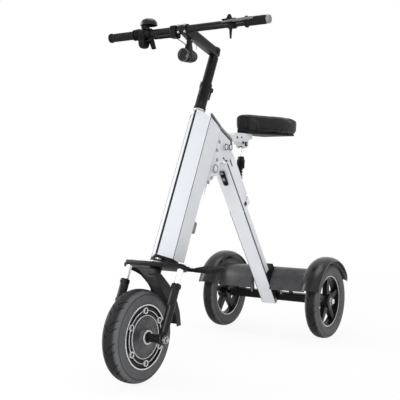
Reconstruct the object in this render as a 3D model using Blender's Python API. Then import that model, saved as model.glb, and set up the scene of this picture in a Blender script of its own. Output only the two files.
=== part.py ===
"""Seated electric scooter: one driven front wheel, a raked battery case and a folding rear leg.

Metres, +Z up, the front faces -Y and +X is the rider's left. The origin is on the ground,
at the middle of the outline seen from above. Three kinds of frame carry the pieces:
the steering frame stands on the front axle with its Z along the raked steering axis,
the leg frame stands on the leg's fold pivot with its Z up along the leg, and the other
frames are level ones at the handlebar, the seat arm's pivot, the rear axle and the pegs.
"""

import math

import bmesh
import bpy
from mathutils import Matrix, Vector

# Fits shared by all pieces
FIT_GAP = 0.0003
RUNNING_GAP = 0.0012
ROUND_STEPS = 24
WHEEL_STEPS = 28

# Wheels and stance
FRONT_WHEEL_DIAMETER = 0.254
FRONT_TYRE_WIDTH = 0.058
FRONT_RIM_RADIUS = 0.0885
REAR_WHEEL_DIAMETER = 0.254
REAR_TYRE_WIDTH = 0.050
REAR_RIM_RADIUS = 0.0875
REAR_RIM_HALF_WIDTH = 0.0145
WHEELBASE = 0.795
REAR_TRACK = 0.402
STEERING_RAKE = math.radians(26.0)

# Front hub motor
MOTOR_HALF_WIDTH = 0.0225
MOTOR_WALL = 0.004
RIM_BARREL = 0.0055
RIM_HALF_WIDTH = 0.028
STATOR_RADIUS = 0.066
STATOR_GAP = 0.0012
COVER_LUG_COUNT = 6
COVER_LUG_RADIUS = 0.009
AXLE_RADIUS = 0.006
AXLE_NUT_RADIUS = 0.0105
AXLE_NUT_WIDTH = 0.010

# Fork
FORK_LEG_SPACING = 0.176
FORK_LEG_LEAD = 0.008
SLIDER_RADIUS = 0.0115
SLIDER_FOOT = 0.014
SLIDER_TOP = 0.149
SLIDER_CAP_RADIUS = 0.014
SLIDER_CAP_LENGTH = 0.008
SLIDER_SEAM = 0.091
STANCHION_RADIUS = 0.00875
STANCHION_FOOT = 0.062
STANCHION_BORE_FOOT = 0.030
DROPOUT_THICKNESS = 0.009
DROPOUT_REACH = 0.017
CROWN_BOTTOM = 0.193
CROWN_HEIGHT = 0.014
CROWN_END_BEYOND_LEG = 0.012
CROWN_DEPTH = 0.034
CROWN_CAP_HEIGHT = 0.004
CROWN_CAP_RADIUS = 0.0105
HEADSET_DISC_RADIUS = 0.021
HEADSET_DISC_HEIGHT = 0.009

# Front mudguard
MUDGUARD_HALF_WIDTH = 0.040
MUDGUARD_WALL = 0.0025
# Degrees behind the wheel's top, outer radius, and the depth of the right and the left skirt
MUDGUARD_STATIONS = (
    (8, 0.1850, 0.010, 0.012),
    (13, 0.1825, 0.010, 0.026),
    (18, 0.1790, 0.009, 0.032),
    (23, 0.1745, 0.006, 0.035),
    (30, 0.1690, 0.005, 0.039),
    (38, 0.1660, 0.005, 0.041),
    (45, 0.1635, 0.006, 0.040),
    (60, 0.1600, 0.020, 0.034),
    (72, 0.1585, 0.026, 0.028),
    (87, 0.1575, 0.026, 0.026),
)

# Battery case, measured up the steering axis
CASE_BOTTOM = 0.230
CASE_LENGTH = 0.452
CASE_HALF_WIDTH = 0.038
CASE_NOSE_HALF_WIDTH = 0.004
CASE_NOSE_LEAD = 0.0165
CASE_SHOULDER_BACK = 0.015
CASE_REAR_BACK = 0.071
CASE_WALL = 0.0022
NOSE_GROOVE_HALF_WIDTH = 0.003
NOSE_GROOVE_DEPTH = 0.0008
BASE_FLANGE_HEIGHT = 0.0078
BASE_FLANGE_LIP = 0.001
CASE_CAP_HEIGHT = 0.012
CASE_CAP_RIDGE_HALF_WIDTH = 0.014
BATTERY_FOOT_ROOM = 0.015
BATTERY_TO_CONTROLLER = 0.010
CONTROLLER_LENGTH = 0.085
CONTROLLER_TO_LID = 0.012
PACK_CLEARANCE = 0.003
CHARGE_PORT_HEIGHT = 0.352
CHARGE_PORT_HALF_HEIGHT = 0.018
CHARGE_PORT_HALF_WIDTH = 0.0107
CHARGE_PORT_DEPTH = 0.016
CHARGE_PORT_OFFSET = 0.0267
CHARGE_SPIGOT_RADIUS = 0.0055

# Steering column, stem and handlebar
STEERER_RADIUS = 0.011
STEERER_WALL = 0.0025
COLLAR_RADIUS = 0.0172
COLLAR_HEIGHT = 0.0075
SLEEVE_RADIUS = 0.0172
SLEEVE_LENGTH = 0.088
SLEEVE_PLUG = 0.008
CLAMP_BAND_RADIUS = 0.0188
CLAMP_BAND_HEIGHT = 0.015
CLAMP_EAR_BACK = 0.030
CLAMP_EAR_HALF_WIDTH = 0.010
CLAMP_LEVER_LENGTH = 0.030
CLAMP_LEVER_HALF_WIDTH = 0.006
COLUMN_RADIUS = 0.0152
COLUMN_WALL = 0.002
COLUMN_FOOT_ABOVE_SLEEVE = 0.062
COLUMN_LENGTH = 0.139
STEM_REACH = 0.1725
STEM_RISE = math.radians(15.8)
STEM_HALF_WIDTH = 0.011
STEM_ROOT_HEIGHT = 0.026
STEM_CLAMP_RADIUS = 0.015
STEM_CHEEK = 0.0045
STEM_PIN_RADIUS = 0.005
BAR_RADIUS = 0.011
BAR_WALL = 0.002
BAR_HALF_LENGTH = 0.280
GRIP_RADIUS = 0.0128
GRIP_FLANGE_RADIUS = 0.0165
GRIP_FLANGE_WIDTH = 0.004
GRIP_END_RADIUS = 0.0145
GRIP_END_WIDTH = 0.006
GRIP_END_WALL = 0.002
RIGHT_GRIP_LENGTH = 0.099
LEFT_GRIP_LENGTH = 0.075

# Controls, placed along the handlebar
GRIP_TO_THROTTLE = 0.005
THROTTLE_WIDTH = 0.038
THROTTLE_RADIUS = 0.017
SWITCH_POD_DROP = 0.048
SWITCH_POD_HALF_DEPTH = 0.016
BUTTON_RADIUS = 0.006
BUTTON_TRAVEL = 0.0022
BUTTON_PROUD = 0.003
PADDLE_WIDTH = 0.018
PADDLE_RING_RADIUS = 0.0158
PADDLE_REACH = 0.050
PADDLE_THICKNESS = 0.006
BELL_PAST_THROTTLE = 0.007
BELL_RADIUS = 0.026
BELL_RISE = 0.024
BELL_DOME_HEIGHT = 0.022
BELL_NECK_OFFSET = 0.019
BELL_NECK_RADIUS = 0.008
JUNCTION_OUTER_X = -0.046
JUNCTION_INNER_X = -0.024
JUNCTION_HALF_DEPTH = 0.0155
JUNCTION_RISE = 0.0135
JUNCTION_DROP = 0.0235
CABLE_RADIUS = 0.0025
CABLE_LEAD = 0.008
CABLE_DROP = 0.017
WRAP_WIRE_RADIUS = 0.0011
WRAP_RADIUS = 0.0042
WRAP_CURLS = 9
WRAP_POINTS = 7
PERCH_TO_GRIP = 0.056
PERCH_WIDTH = 0.022
PERCH_RADIUS = 0.0155
BRAKE_PIVOT_ALONG_PERCH = 0.0035
BRAKE_PIVOT_LEAD = 0.030
BRAKE_LEVER_LENGTH = 0.096
BRAKE_LEVER_THICKNESS = 0.006
BRAKE_PIVOT_RADIUS = 0.008
BRAKE_PIN_RADIUS = 0.003
BRAKE_BOOT_DROP = 0.040
BRAKE_BOOT_ALONG_PERCH = 0.0195
BRAKE_NOSE_BEFORE_PERCH = 0.003
BRAKE_NOSE_WIDTH = 0.030

# Headlight under the stem
HEADLIGHT_RADIUS = 0.0195
HEADLIGHT_LENGTH = 0.062
HEADLIGHT_LEAD = 0.010
HEADLIGHT_DROP = 0.075
HEADLIGHT_LENS_DEPTH = 0.006
HEADLIGHT_PIVOT_BACK = 0.030
HEADLIGHT_PIVOT_RISE = 0.028
HEADLIGHT_EAR_RADIUS = 0.007
HEADLIGHT_PIN_RADIUS = 0.003
HEADLIGHT_LUG_HALF_WIDTH = 0.005
HEADLIGHT_EAR_WIDTH = 0.0035

# Folding bracket behind the case, measured from the steering axis
BRACKET_SPINE = 0.011
BRACKET_PLATE = 0.005
LEG_PIVOT_HEIGHT = 0.5531
LEG_PIVOT_BACK = 0.1007
LEG_PIVOT_RADIUS = 0.007
LEG_PIVOT_BOSS = 0.015
SEAT_PIVOT_HEIGHT = 0.6406
SEAT_PIVOT_BACK = 0.1271
SEAT_BOLT_RADIUS = 0.005
SEAT_STOP_REACH = 0.027
BIG_BOLT_HEAD_RADIUS = 0.0125
SMALL_BOLT_HEAD_RADIUS = 0.0095
BOLT_HEAD_HEIGHT = 0.0045

# Rear leg, in its own frame: forward face, depth and length from the fold pivot
LEG_FACE_BACK = 0.0837
LEG_DEPTH = 0.030
LEG_HALF_WIDTH = 0.027
LEG_WALL = 0.003
LEG_HEAD_DEPTH = 0.052
LEG_HEAD_TOP = -0.021
LEG_HEAD_FOOT = -0.228
LEG_HEAD_WALL = 0.0052
LEG_SPIGOT = 0.032
REAR_AXLE_BACK_OF_PIVOT = 0.1234
SHOCK_HOOK_BACK = 0.1074
SHOCK_HOOK_HEIGHT = -0.2125
HOOK_CLEARANCE = 0.001
LOCK_TOP = -0.061
LOCK_LENGTH = 0.060
LOCK_HALF_WIDTH = 0.013
LOCK_THICKNESS = 0.0065

# Rear axle carrier, cover and fenders
CARRIER_SLEEVE_WALL = 0.006
CARRIER_FRONT_OPENING = 0.003
CARRIER_BLOCK = 0.028
CARRIER_SLEEVE_TOP = -0.486
BEAM_HALF_WIDTH = 0.163
BEAM_LEAD = 0.030
BEAM_TAIL = 0.008
BEAM_RISE = 0.018
BEAM_DROP = 0.009
REAR_STUB_RADIUS = 0.006
REAR_STUB_HALF_SPAN = 0.230
COVER_TAB_X = 0.074
COVER_TAB_WIDTH = 0.006
FENDER_RADIUS = 0.151
FENDER_INNER_X = 0.168
FENDER_WIDTH = 0.066
FENDER_WALL = 0.0025
FENDER_REAR_ANGLE = math.radians(23.0)
FENDER_FRONT_ANGLE = math.radians(160.0)
FENDER_DEPTH = 0.014
FENDER_TAIL_SHARE = 0.84
FENDER_TAIL_SPAN = math.radians(16.0)
COVER_WALL = 0.003
COVER_SLOT_MARGIN = 0.004

# Foot pegs
PEG_HEIGHT = 0.295
PEG_BACK = 0.149
PEG_BRACKET_HALF_DEPTH = 0.0145
PEG_BRACKET_HALF_HEIGHT = 0.0065
PEG_PIVOT_X = 0.056
PEG_PIN_RADIUS = 0.004
PEG_PAD_START_X = 0.092
PEG_PAD_END_X = 0.156
PEG_PAD_DEPTH = 0.076
PEG_PAD_OFFSET = 0.020
PEG_PAD_THICKNESS = 0.011
PEG_PAD_RISE = 0.0035
PEG_ROOT_THICKNESS = 0.008
PEG_ROOT_HALF_DEPTH = 0.010

# Seat and shock
SEAT_ARM_HALF_WIDTH = 0.015
SHOCK_TOP_BACK = 0.171
SHOCK_TOP_RISE = 0.015
SEAT_SWING = math.radians(7.0)
SEAT_SHELF_RISE = 0.050
PAN_THICKNESS = 0.006
CUSHION_FRONT = 0.166
CUSHION_LENGTH = 0.303
CUSHION_TOP = 0.115
CUSHION_NOSE_HALF_WIDTH = 0.029
CUSHION_REAR_HALF_WIDTH = 0.078
SHOCK_EYE_RADIUS = 0.009
SHOCK_EYE_HALF_WIDTH = 0.0075
SHOCK_PIN_RADIUS = 0.004
SHOCK_NECK_RADIUS = 0.005
SHOCK_NECK_END = 0.042
SHOCK_CAP_HEIGHT = 0.010
SHOCK_BODY_RADIUS = 0.013
SHOCK_BODY_END = 0.080
SHOCK_TUBE_RADIUS = 0.0065
SHOCK_TUBE_END = 0.126
SHOCK_ROD_RADIUS = 0.004
SHOCK_ROD_TRAVEL = 0.024
SHOCK_PERCH_BOTTOM = 0.0105
SHOCK_PERCH_HEIGHT = 0.004
SPRING_RADIUS = 0.0088
SPRING_WIRE_RADIUS = 0.0016
SPRING_CURLS = 10
SPRING_POINTS = 8

# Places that follow from the sizes above
FRONT_RADIUS = FRONT_WHEEL_DIAMETER / 2
REAR_RADIUS = REAR_WHEEL_DIAMETER / 2
REAR_EDGE = WHEELBASE + FENDER_RADIUS * math.cos(FENDER_REAR_ANGLE)
FRONT_AXLE_Y = (FRONT_RADIUS - REAR_EDGE) / 2
REAR_AXLE_Y = FRONT_AXLE_Y + WHEELBASE
CASE_TOP = CASE_BOTTOM + CASE_LENGTH
BATTERY_LENGTH = CASE_LENGTH - BATTERY_FOOT_ROOM - BATTERY_TO_CONTROLLER - CONTROLLER_LENGTH - CONTROLLER_TO_LID
CAP_TOP = CASE_TOP + CASE_CAP_HEIGHT
COLLAR_BOTTOM = CAP_TOP + RUNNING_GAP
SLEEVE_BOTTOM = COLLAR_BOTTOM + COLLAR_HEIGHT + FIT_GAP
SLEEVE_TOP = SLEEVE_BOTTOM + SLEEVE_LENGTH
STEM_HINGE_HEIGHT = SLEEVE_BOTTOM + COLUMN_FOOT_ABOVE_SLEEVE + COLUMN_LENGTH
CROWN_TOP = CROWN_BOTTOM + CROWN_HEIGHT
CROWN_HALF_WIDTH = FORK_LEG_SPACING / 2 + CROWN_END_BEYOND_LEG
PLATE_OUTER = CASE_HALF_WIDTH
PLATE_INNER = CASE_HALF_WIDTH - BRACKET_PLATE
SPINE_FRONT = CASE_REAR_BACK + FIT_GAP
SPINE_REAR = SPINE_FRONT + BRACKET_SPINE
THROTTLE_OUTER_X = RIGHT_GRIP_LENGTH + GRIP_TO_THROTTLE - BAR_HALF_LENGTH
THROTTLE_INNER_X = THROTTLE_OUTER_X + THROTTLE_WIDTH
PADDLE_OUTER_X = THROTTLE_INNER_X + FIT_GAP
PADDLE_INNER_X = THROTTLE_INNER_X + PADDLE_WIDTH
BELL_X = THROTTLE_INNER_X + BELL_PAST_THROTTLE
BELL_NECK_X = BELL_X - BELL_NECK_OFFSET
PERCH_INNER_X = BAR_HALF_LENGTH - LEFT_GRIP_LENGTH - PERCH_TO_GRIP
BRAKE_PIVOT_X = PERCH_INNER_X + BRAKE_PIVOT_ALONG_PERCH
BRAKE_BOOT_X = PERCH_INNER_X + BRAKE_BOOT_ALONG_PERCH
BRAKE_NOSE_LOW_X = PERCH_INNER_X - BRAKE_NOSE_BEFORE_PERCH
BRAKE_NOSE_HIGH_X = BRAKE_NOSE_LOW_X + BRAKE_NOSE_WIDTH


def clear_scene():
    for old in list(bpy.data.objects):
        bpy.data.objects.remove(old, do_unlink=True)


# Frames


def add_frame(name, parent, location, tilt=0.0):
    """An empty that carries a group of pieces, tipped about X."""
    frame = bpy.data.objects.new(name, None)
    frame.location = location
    frame.rotation_euler = (tilt, 0.0, 0.0)
    frame.parent = parent
    bpy.context.collection.objects.link(frame)
    return frame


def up_the_rake(back, height):
    """Level (back, up) of a point given across and along the steering axis, from the front axle."""
    sine = math.sin(STEERING_RAKE)
    cosine = math.cos(STEERING_RAKE)
    return height * sine + back * cosine, height * cosine - back * sine


# Mesh tools


def outline_prism(outline, low, high, axis="x"):
    """A plate or bar: the outline pushed along one axis. Outlines are (y, z), (x, z) or (x, y)."""
    shape = bmesh.new()
    ends = []
    for place in (low, high):
        ring = []
        for first, second in outline:
            spot = {"x": (place, first, second), "y": (first, place, second), "z": (first, second, place)}
            ring.append(shape.verts.new(spot[axis]))
        ends.append(ring)
        shape.faces.new(ring)
    count = len(outline)
    for index in range(count):
        after = (index + 1) % count
        shape.faces.new((ends[0][index], ends[0][after], ends[1][after], ends[1][index]))
    bmesh.ops.recalc_face_normals(shape, faces=shape.faces)
    return shape


def block(x_range, y_range, z_range):
    outline = [(y_range[0], z_range[0]), (y_range[1], z_range[0]), (y_range[1], z_range[1]), (y_range[0], z_range[1])]
    return outline_prism(outline, x_range[0], x_range[1], "x")


def turned(profile, axis="z", centre=(0.0, 0.0, 0.0), steps=ROUND_STEPS, closed=False):
    """A lathe shape from (radius, place along the axis) points. Closed profiles make rings."""
    shape = bmesh.new()
    rings = []
    for radius, place in profile:
        ring = []
        spots = 1 if radius == 0.0 else steps
        for step in range(spots):
            angle = 2 * math.pi * step / steps
            across = radius * math.cos(angle)
            over = radius * math.sin(angle)
            spot = {"x": (place, across, over), "y": (over, place, across), "z": (across, over, place)}
            ring.append(shape.verts.new(Vector(spot[axis]) + Vector(centre)))
        rings.append(ring)
    pairs = list(zip(rings, rings[1:]))
    if closed:
        pairs.append((rings[-1], rings[0]))
    for lower, upper in pairs:
        for step in range(steps):
            after = (step + 1) % steps
            corners = [lower[step % len(lower)], lower[after % len(lower)]]
            corners += [upper[after % len(upper)], upper[step % len(upper)]]
            face = []
            for corner in corners:
                if corner not in face:
                    face.append(corner)
            if len(face) > 2:
                shape.faces.new(face)
    bmesh.ops.recalc_face_normals(shape, faces=shape.faces)
    return shape


def disc(radius, low, high, axis="z", centre=(0.0, 0.0, 0.0), steps=ROUND_STEPS):
    profile = [(0.0, low), (radius, low), (radius, high), (0.0, high)]
    return turned(profile, axis, centre, steps)


def pipe(outer, inner, low, high, axis="z", centre=(0.0, 0.0, 0.0), steps=ROUND_STEPS):
    profile = [(outer, low), (outer, high), (inner, high), (inner, low)]
    return turned(profile, axis, centre, steps, closed=True)


def loft(sections):
    """A skin over rings of equally many points, with a flat face at each end."""
    shape = bmesh.new()
    rings = [[shape.verts.new(point) for point in section] for section in sections]
    count = len(rings[0])
    shape.faces.new(rings[0])
    shape.faces.new(rings[-1])
    for lower, upper in zip(rings, rings[1:]):
        for index in range(count):
            after = (index + 1) % count
            shape.faces.new((lower[index], lower[after], upper[after], upper[index]))
    bmesh.ops.recalc_face_normals(shape, faces=shape.faces)
    return shape


def soften(shape, width, choose, segments=1):
    """Bevels the edges that choose() accepts."""
    edges = [edge for edge in shape.edges if choose(edge)]
    bmesh.ops.bevel(shape, geom=edges, offset=width, segments=segments, profile=0.5, affect="EDGES")
    return shape


def runs_along(axis):
    """A test for edges that run along one axis."""
    index = "xyz".index(axis)

    def test(edge):
        run = (edge.verts[1].co - edge.verts[0].co).normalized()
        return abs(run[index]) > 0.99

    return test


def offset_outline(outline, distance):
    """The outline grown by distance, for points that run anticlockwise."""
    grown = []
    count = len(outline)
    for index, corner in enumerate(outline):
        before = Vector(outline[index - 1])
        here = Vector(corner)
        after = Vector(outline[(index + 1) % count])
        into = (here - before).normalized()
        away = (after - here).normalized()
        first = Vector((into.y, -into.x))
        second = Vector((away.y, -away.x))
        share = distance / (1 + first.dot(second))
        grown.append(tuple(here + (first + second) * share))
    return grown


def arc_points(centre, radius, start, end, count):
    """Points on an arc in a plane, from one angle to another."""
    points = []
    for index in range(count):
        angle = start + (end - start) * index / (count - 1)
        points.append((centre[0] + radius * math.cos(angle), centre[1] + radius * math.sin(angle)))
    return points


# Objects


def paint(name, colour, roughness, metallic):
    material = bpy.data.materials.new(name)
    material.use_nodes = True
    shader = material.node_tree.nodes["Principled BSDF"]
    shader.inputs["Base Color"].default_value = (*colour, 1.0)
    shader.inputs["Roughness"].default_value = roughness
    shader.inputs["Metallic"].default_value = metallic
    material.diffuse_color = (*colour, 1.0)
    return material


FINISHES = {
    "silver_paint": ((0.62, 0.63, 0.66), 0.38, 0.35),
    "black_paint": ((0.018, 0.018, 0.020), 0.35, 0.0),
    "black_plastic": ((0.022, 0.022, 0.024), 0.55, 0.0),
    "black_rubber": ((0.020, 0.020, 0.021), 0.85, 0.0),
    "chrome": ((0.75, 0.76, 0.78), 0.15, 1.0),
    "steel": ((0.45, 0.45, 0.47), 0.35, 1.0),
    "cast_metal": ((0.30, 0.31, 0.33), 0.45, 0.8),
    "seat_vinyl": ((0.020, 0.020, 0.022), 0.50, 0.0),
    "lens": ((0.80, 0.83, 0.86), 0.10, 0.0),
    "blue_wrap": ((0.05, 0.09, 0.25), 0.55, 0.0),
    "grey_plastic": ((0.25, 0.26, 0.28), 0.50, 0.0),
}


def add_object(name, shape, parent):
    mesh = bpy.data.meshes.new(name)
    shape.to_mesh(mesh)
    shape.free()
    made = bpy.data.objects.new(name, mesh)
    made.parent = parent
    bpy.context.collection.objects.link(made)
    return made


def add_piece(name, shape, parent, finish):
    """One sub-part of the scooter, with its own material."""
    made = add_object(name, shape, parent)
    made.data.materials.append(paint(name, *FINISHES[finish]))
    made.data.shade_smooth()
    made.data.set_sharp_from_angle(angle=math.radians(35))
    return made


def combine(piece, shape, operation, label):
    """Joins a shape to a piece or cuts it out, with a hidden helper in the piece's own frame."""
    helper = add_object(f"{piece.name}_{label}", shape, piece.parent)
    helper.location = piece.location
    helper.hide_render = True
    helper.display_type = "WIRE"
    change = piece.modifiers.new(label, "BOOLEAN")
    change.operation = operation
    change.solver = "EXACT"
    change.object = helper


def join(piece, shape, label):
    combine(piece, shape, "UNION", label)


def cut(piece, shape, label):
    combine(piece, shape, "DIFFERENCE", label)


def add_cord(name, points, radius, sides_level, parent, finish):
    """A round tube along points, with closed ends."""
    curve = bpy.data.curves.new(name, "CURVE")
    curve.dimensions = "3D"
    curve.bevel_depth = radius
    curve.bevel_resolution = sides_level
    curve.use_fill_caps = True
    spline = curve.splines.new("POLY")
    spline.points.add(len(points) - 1)
    for spot, point in zip(spline.points, points):
        spot.co = (*point, 1.0)
    made = bpy.data.objects.new(name, curve)
    made.parent = parent
    curve.materials.append(paint(name, *FINISHES[finish]))
    bpy.context.collection.objects.link(made)
    return made


def least_gap(points, wire_radius, skip):
    """The least clear distance between stretches of one tube that lie skip points apart or more."""
    least = math.inf
    for index, here in enumerate(points):
        for other in points[index + skip:]:
            least = min(least, (Vector(here) - Vector(other)).length - 2 * wire_radius)
    return least


# Wheels


def tyre_profile(outer, half_width, bead, bead_half, fullness):
    """A tubeless tyre's section: a crown, round shoulders and sidewalls that meet the rim."""
    widest = outer - half_width * 0.80
    profile = []
    crown_points = 9
    for index in range(crown_points):
        angle = math.radians(-90 + 180 * index / (crown_points - 1))
        side = math.copysign(abs(math.sin(angle)) ** fullness, angle)
        rise = abs(math.cos(angle)) ** fullness
        profile.append((widest + (outer - widest) * rise, half_width * side))
    seat = bead + FIT_GAP
    profile.append((seat, bead_half))
    profile.append((seat, -bead_half))
    return profile


def build_front_wheel(steering):
    half_width = FRONT_TYRE_WIDTH / 2
    tyre = tyre_profile(FRONT_RADIUS, half_width, FRONT_RIM_RADIUS, half_width * 0.69, 0.8)
    wheel_frame = add_frame("front_wheel_frame", steering, (0.0, 0.0, 0.0), STEERING_RAKE)
    add_piece("front_tyre", turned(tyre, "x", steps=WHEEL_STEPS, closed=True), wheel_frame, "black_rubber")

    barrel_inner = FRONT_RIM_RADIUS - RIM_BARREL
    can_outer = FRONT_RIM_RADIUS - RIM_BARREL - MOTOR_WALL
    bore = AXLE_RADIUS + RUNNING_GAP
    shell_profile = [
        (FRONT_RIM_RADIUS, -RIM_HALF_WIDTH),
        (FRONT_RIM_RADIUS, RIM_HALF_WIDTH),
        (barrel_inner, RIM_HALF_WIDTH),
        (barrel_inner, MOTOR_HALF_WIDTH),
        (can_outer, MOTOR_HALF_WIDTH - 0.004),
        (can_outer, MOTOR_WALL - MOTOR_HALF_WIDTH),
        (bore, MOTOR_WALL - MOTOR_HALF_WIDTH),
        (bore, -MOTOR_HALF_WIDTH),
        (barrel_inner, -MOTOR_HALF_WIDTH),
        (barrel_inner, -RIM_HALF_WIDTH),
    ]
    shell = turned(shell_profile, "x", steps=WHEEL_STEPS, closed=True)
    add_piece("hub_motor_shell", shell, wheel_frame, "cast_metal")

    cover_radius = barrel_inner - FIT_GAP
    seat = MOTOR_HALF_WIDTH + FIT_GAP
    cover_profile = [
        (cover_radius, seat),
        (cover_radius, seat + 0.003),
        (0.068, seat + 0.005),
        (0.064, seat + 0.002),
        (0.040, seat + 0.004),
        (0.024, seat + 0.012),
        (0.013, seat + 0.018),
        (bore, seat + 0.018),
        (bore, seat),
    ]
    cover = add_piece("hub_cover", turned(cover_profile, "x", steps=WHEEL_STEPS, closed=True), wheel_frame, "steel")
    lug_ring = cover_radius - COVER_LUG_RADIUS - 0.001
    for index in range(COVER_LUG_COUNT):
        angle = 2 * math.pi * (index + 0.5) / COVER_LUG_COUNT
        centre = (0.0, lug_ring * math.cos(angle), lug_ring * math.sin(angle))
        lug = disc(COVER_LUG_RADIUS, seat + 0.001, seat + 0.0075, "x", centre, 8)
        join(cover, lug, f"lug_{index}")

    stator_low = MOTOR_WALL - MOTOR_HALF_WIDTH + 0.003
    stator = pipe(STATOR_RADIUS, AXLE_RADIUS + FIT_GAP, stator_low, MOTOR_HALF_WIDTH - 0.003, "x")
    add_piece("motor_stator", stator, wheel_frame, "cast_metal")


def build_rear_wheel(side, label, axle_frame):
    """One cast wheel with five spokes, its tyre, and a bore that runs on the stub axle."""
    centre_x = side * REAR_TRACK / 2
    tyre = tyre_profile(REAR_RADIUS, REAR_TYRE_WIDTH / 2, REAR_RIM_RADIUS, REAR_RIM_HALF_WIDTH + 0.001, 1.0)
    centre = (centre_x, 0.0, 0.0)
    tyre_shape = turned(tyre, "x", centre, WHEEL_STEPS, closed=True)
    add_piece(f"rear_tyre_{label}", tyre_shape, axle_frame, "black_rubber")

    rim_half = REAR_RIM_HALF_WIDTH
    rim_inner = REAR_RIM_RADIUS - 0.006
    rim_profile = [
        (REAR_RIM_RADIUS, -rim_half),
        (REAR_RIM_RADIUS, rim_half),
        (rim_inner, rim_half),
        (rim_inner, -rim_half),
    ]
    rim = turned(rim_profile, "x", centre, WHEEL_STEPS, closed=True)
    wheel = add_piece(f"rear_wheel_{label}", rim, axle_frame, "cast_metal")
    hub_half = 0.019
    hub = disc(0.024, -hub_half, hub_half, "x", centre)
    join(wheel, hub, "hub")
    spoke_half = 0.0075
    for index in range(5):
        angle = math.pi / 2 + 2 * math.pi * index / 5
        along = Vector((math.cos(angle), math.sin(angle)))
        over = Vector((-along.y, along.x))
        outline = []
        for reach, width in ((0.016, -0.012), (rim_inner + 0.003, -spoke_half)):
            outline.append(tuple(along * reach + over * width))
        for reach, width in ((rim_inner + 0.003, spoke_half), (0.016, 0.012)):
            outline.append(tuple(along * reach + over * width))
        low, high = sorted((centre_x - side * 0.007, centre_x + side * 0.010))
        spoke = outline_prism(outline, low, high, "x")
        join(wheel, spoke, f"spoke_{index}")
    bore = disc(REAR_STUB_RADIUS + RUNNING_GAP / 2, -0.05, 0.05, "x", centre, 16)
    cut(wheel, bore, "bore")


# Fork and mudguard


def build_fork(steering):
    leg_x = FORK_LEG_SPACING / 2
    for side, label in ((1, "left"), (-1, "right")):
        centre = (side * leg_x, -FORK_LEG_LEAD, 0.0)
        bore = STANCHION_RADIUS + FIT_GAP
        slider_profile = [
            (0.0, SLIDER_FOOT),
            (SLIDER_RADIUS * 0.8, SLIDER_FOOT),
            (SLIDER_RADIUS, SLIDER_FOOT + 0.006),
            (SLIDER_RADIUS, SLIDER_SEAM - 0.004),
            (SLIDER_RADIUS + 0.0012, SLIDER_SEAM - 0.002),
            (SLIDER_RADIUS + 0.0012, SLIDER_SEAM + 0.002),
            (SLIDER_RADIUS, SLIDER_SEAM + 0.004),
            (SLIDER_RADIUS, SLIDER_TOP - SLIDER_CAP_LENGTH - 0.002),
            (SLIDER_CAP_RADIUS, SLIDER_TOP - SLIDER_CAP_LENGTH),
            (SLIDER_CAP_RADIUS, SLIDER_TOP - 0.001),
            (SLIDER_CAP_RADIUS - 0.002, SLIDER_TOP),
            (bore, SLIDER_TOP),
            (bore, STANCHION_BORE_FOOT),
            (0.0, STANCHION_BORE_FOOT),
        ]
        slider = add_piece(f"fork_slider_{label}", turned(slider_profile, "z", centre, 16), steering, "black_paint")
        inner = side * (leg_x - 0.001)
        outer = side * (leg_x - 0.001 - DROPOUT_THICKNESS)
        plate = [
            (-FORK_LEG_LEAD - 0.009, SLIDER_FOOT + 0.008),
            (-DROPOUT_REACH, 0.0),
            (-0.010, -DROPOUT_REACH * 0.85),
            (0.010, -DROPOUT_REACH * 0.85),
            (DROPOUT_REACH * 0.8, 0.002),
            (-FORK_LEG_LEAD + 0.009, SLIDER_FOOT + 0.008),
        ]
        low, high = sorted((inner, outer))
        join(slider, outline_prism(plate, low, high, "x"), "dropout")
        cut(slider, disc(AXLE_RADIUS + FIT_GAP, low - 0.01, high + 0.01, "x", steps=16), "axle_hole")
        stanchion_top = CROWN_TOP + FIT_GAP
        stanchion_profile = [
            (0.0, STANCHION_FOOT),
            (STANCHION_RADIUS, STANCHION_FOOT),
            (STANCHION_RADIUS, stanchion_top),
            (CROWN_CAP_RADIUS, stanchion_top),
            (CROWN_CAP_RADIUS, stanchion_top + CROWN_CAP_HEIGHT - 0.001),
            (CROWN_CAP_RADIUS - 0.002, stanchion_top + CROWN_CAP_HEIGHT),
            (0.0, stanchion_top + CROWN_CAP_HEIGHT),
        ]
        add_piece(f"stanchion_{label}", turned(stanchion_profile, "z", centre, 16), steering, "chrome")

    nut_start = leg_x - 0.001 + FIT_GAP
    nut_end = nut_start + AXLE_NUT_WIDTH
    axle_frame = add_frame("front_axle_frame", steering, (0.0, 0.0, 0.0), STEERING_RAKE)
    axle = add_piece("front_axle", disc(AXLE_RADIUS, -nut_end - 0.004, nut_end + 0.004, "x", steps=16), axle_frame, "steel")
    join(axle, disc(AXLE_NUT_RADIUS, nut_start, nut_end, "x", steps=6), "nut_left")
    join(axle, disc(AXLE_NUT_RADIUS, -nut_end, -nut_start, "x", steps=6), "nut_right")

    depth_low = -CROWN_DEPTH / 2 - FORK_LEG_LEAD / 2
    depth_high = CROWN_DEPTH / 2 - FORK_LEG_LEAD / 2
    crown_shape = block((-CROWN_HALF_WIDTH, CROWN_HALF_WIDTH), (depth_low, depth_high), (CROWN_BOTTOM, CROWN_TOP))
    soften(crown_shape, 0.010, runs_along("z"), 2)
    crown = add_piece("fork_crown", crown_shape, steering, "black_paint")
    disc_top = CROWN_TOP + HEADSET_DISC_HEIGHT
    join(crown, disc(HEADSET_DISC_RADIUS, CROWN_TOP - 0.002, disc_top), "headset_disc")
    for side, label in ((1, "left"), (-1, "right")):
        centre = (side * leg_x, -FORK_LEG_LEAD, 0.0)
        hole = disc(STANCHION_RADIUS + FIT_GAP, CROWN_BOTTOM - 0.01, CROWN_TOP + 0.01, "z", centre, 16)
        cut(crown, hole, f"hole_{label}")
    cut(crown, disc(STEERER_RADIUS + FIT_GAP, CROWN_BOTTOM - 0.01, disc_top + 0.01, steps=16), "steerer_hole")


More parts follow.
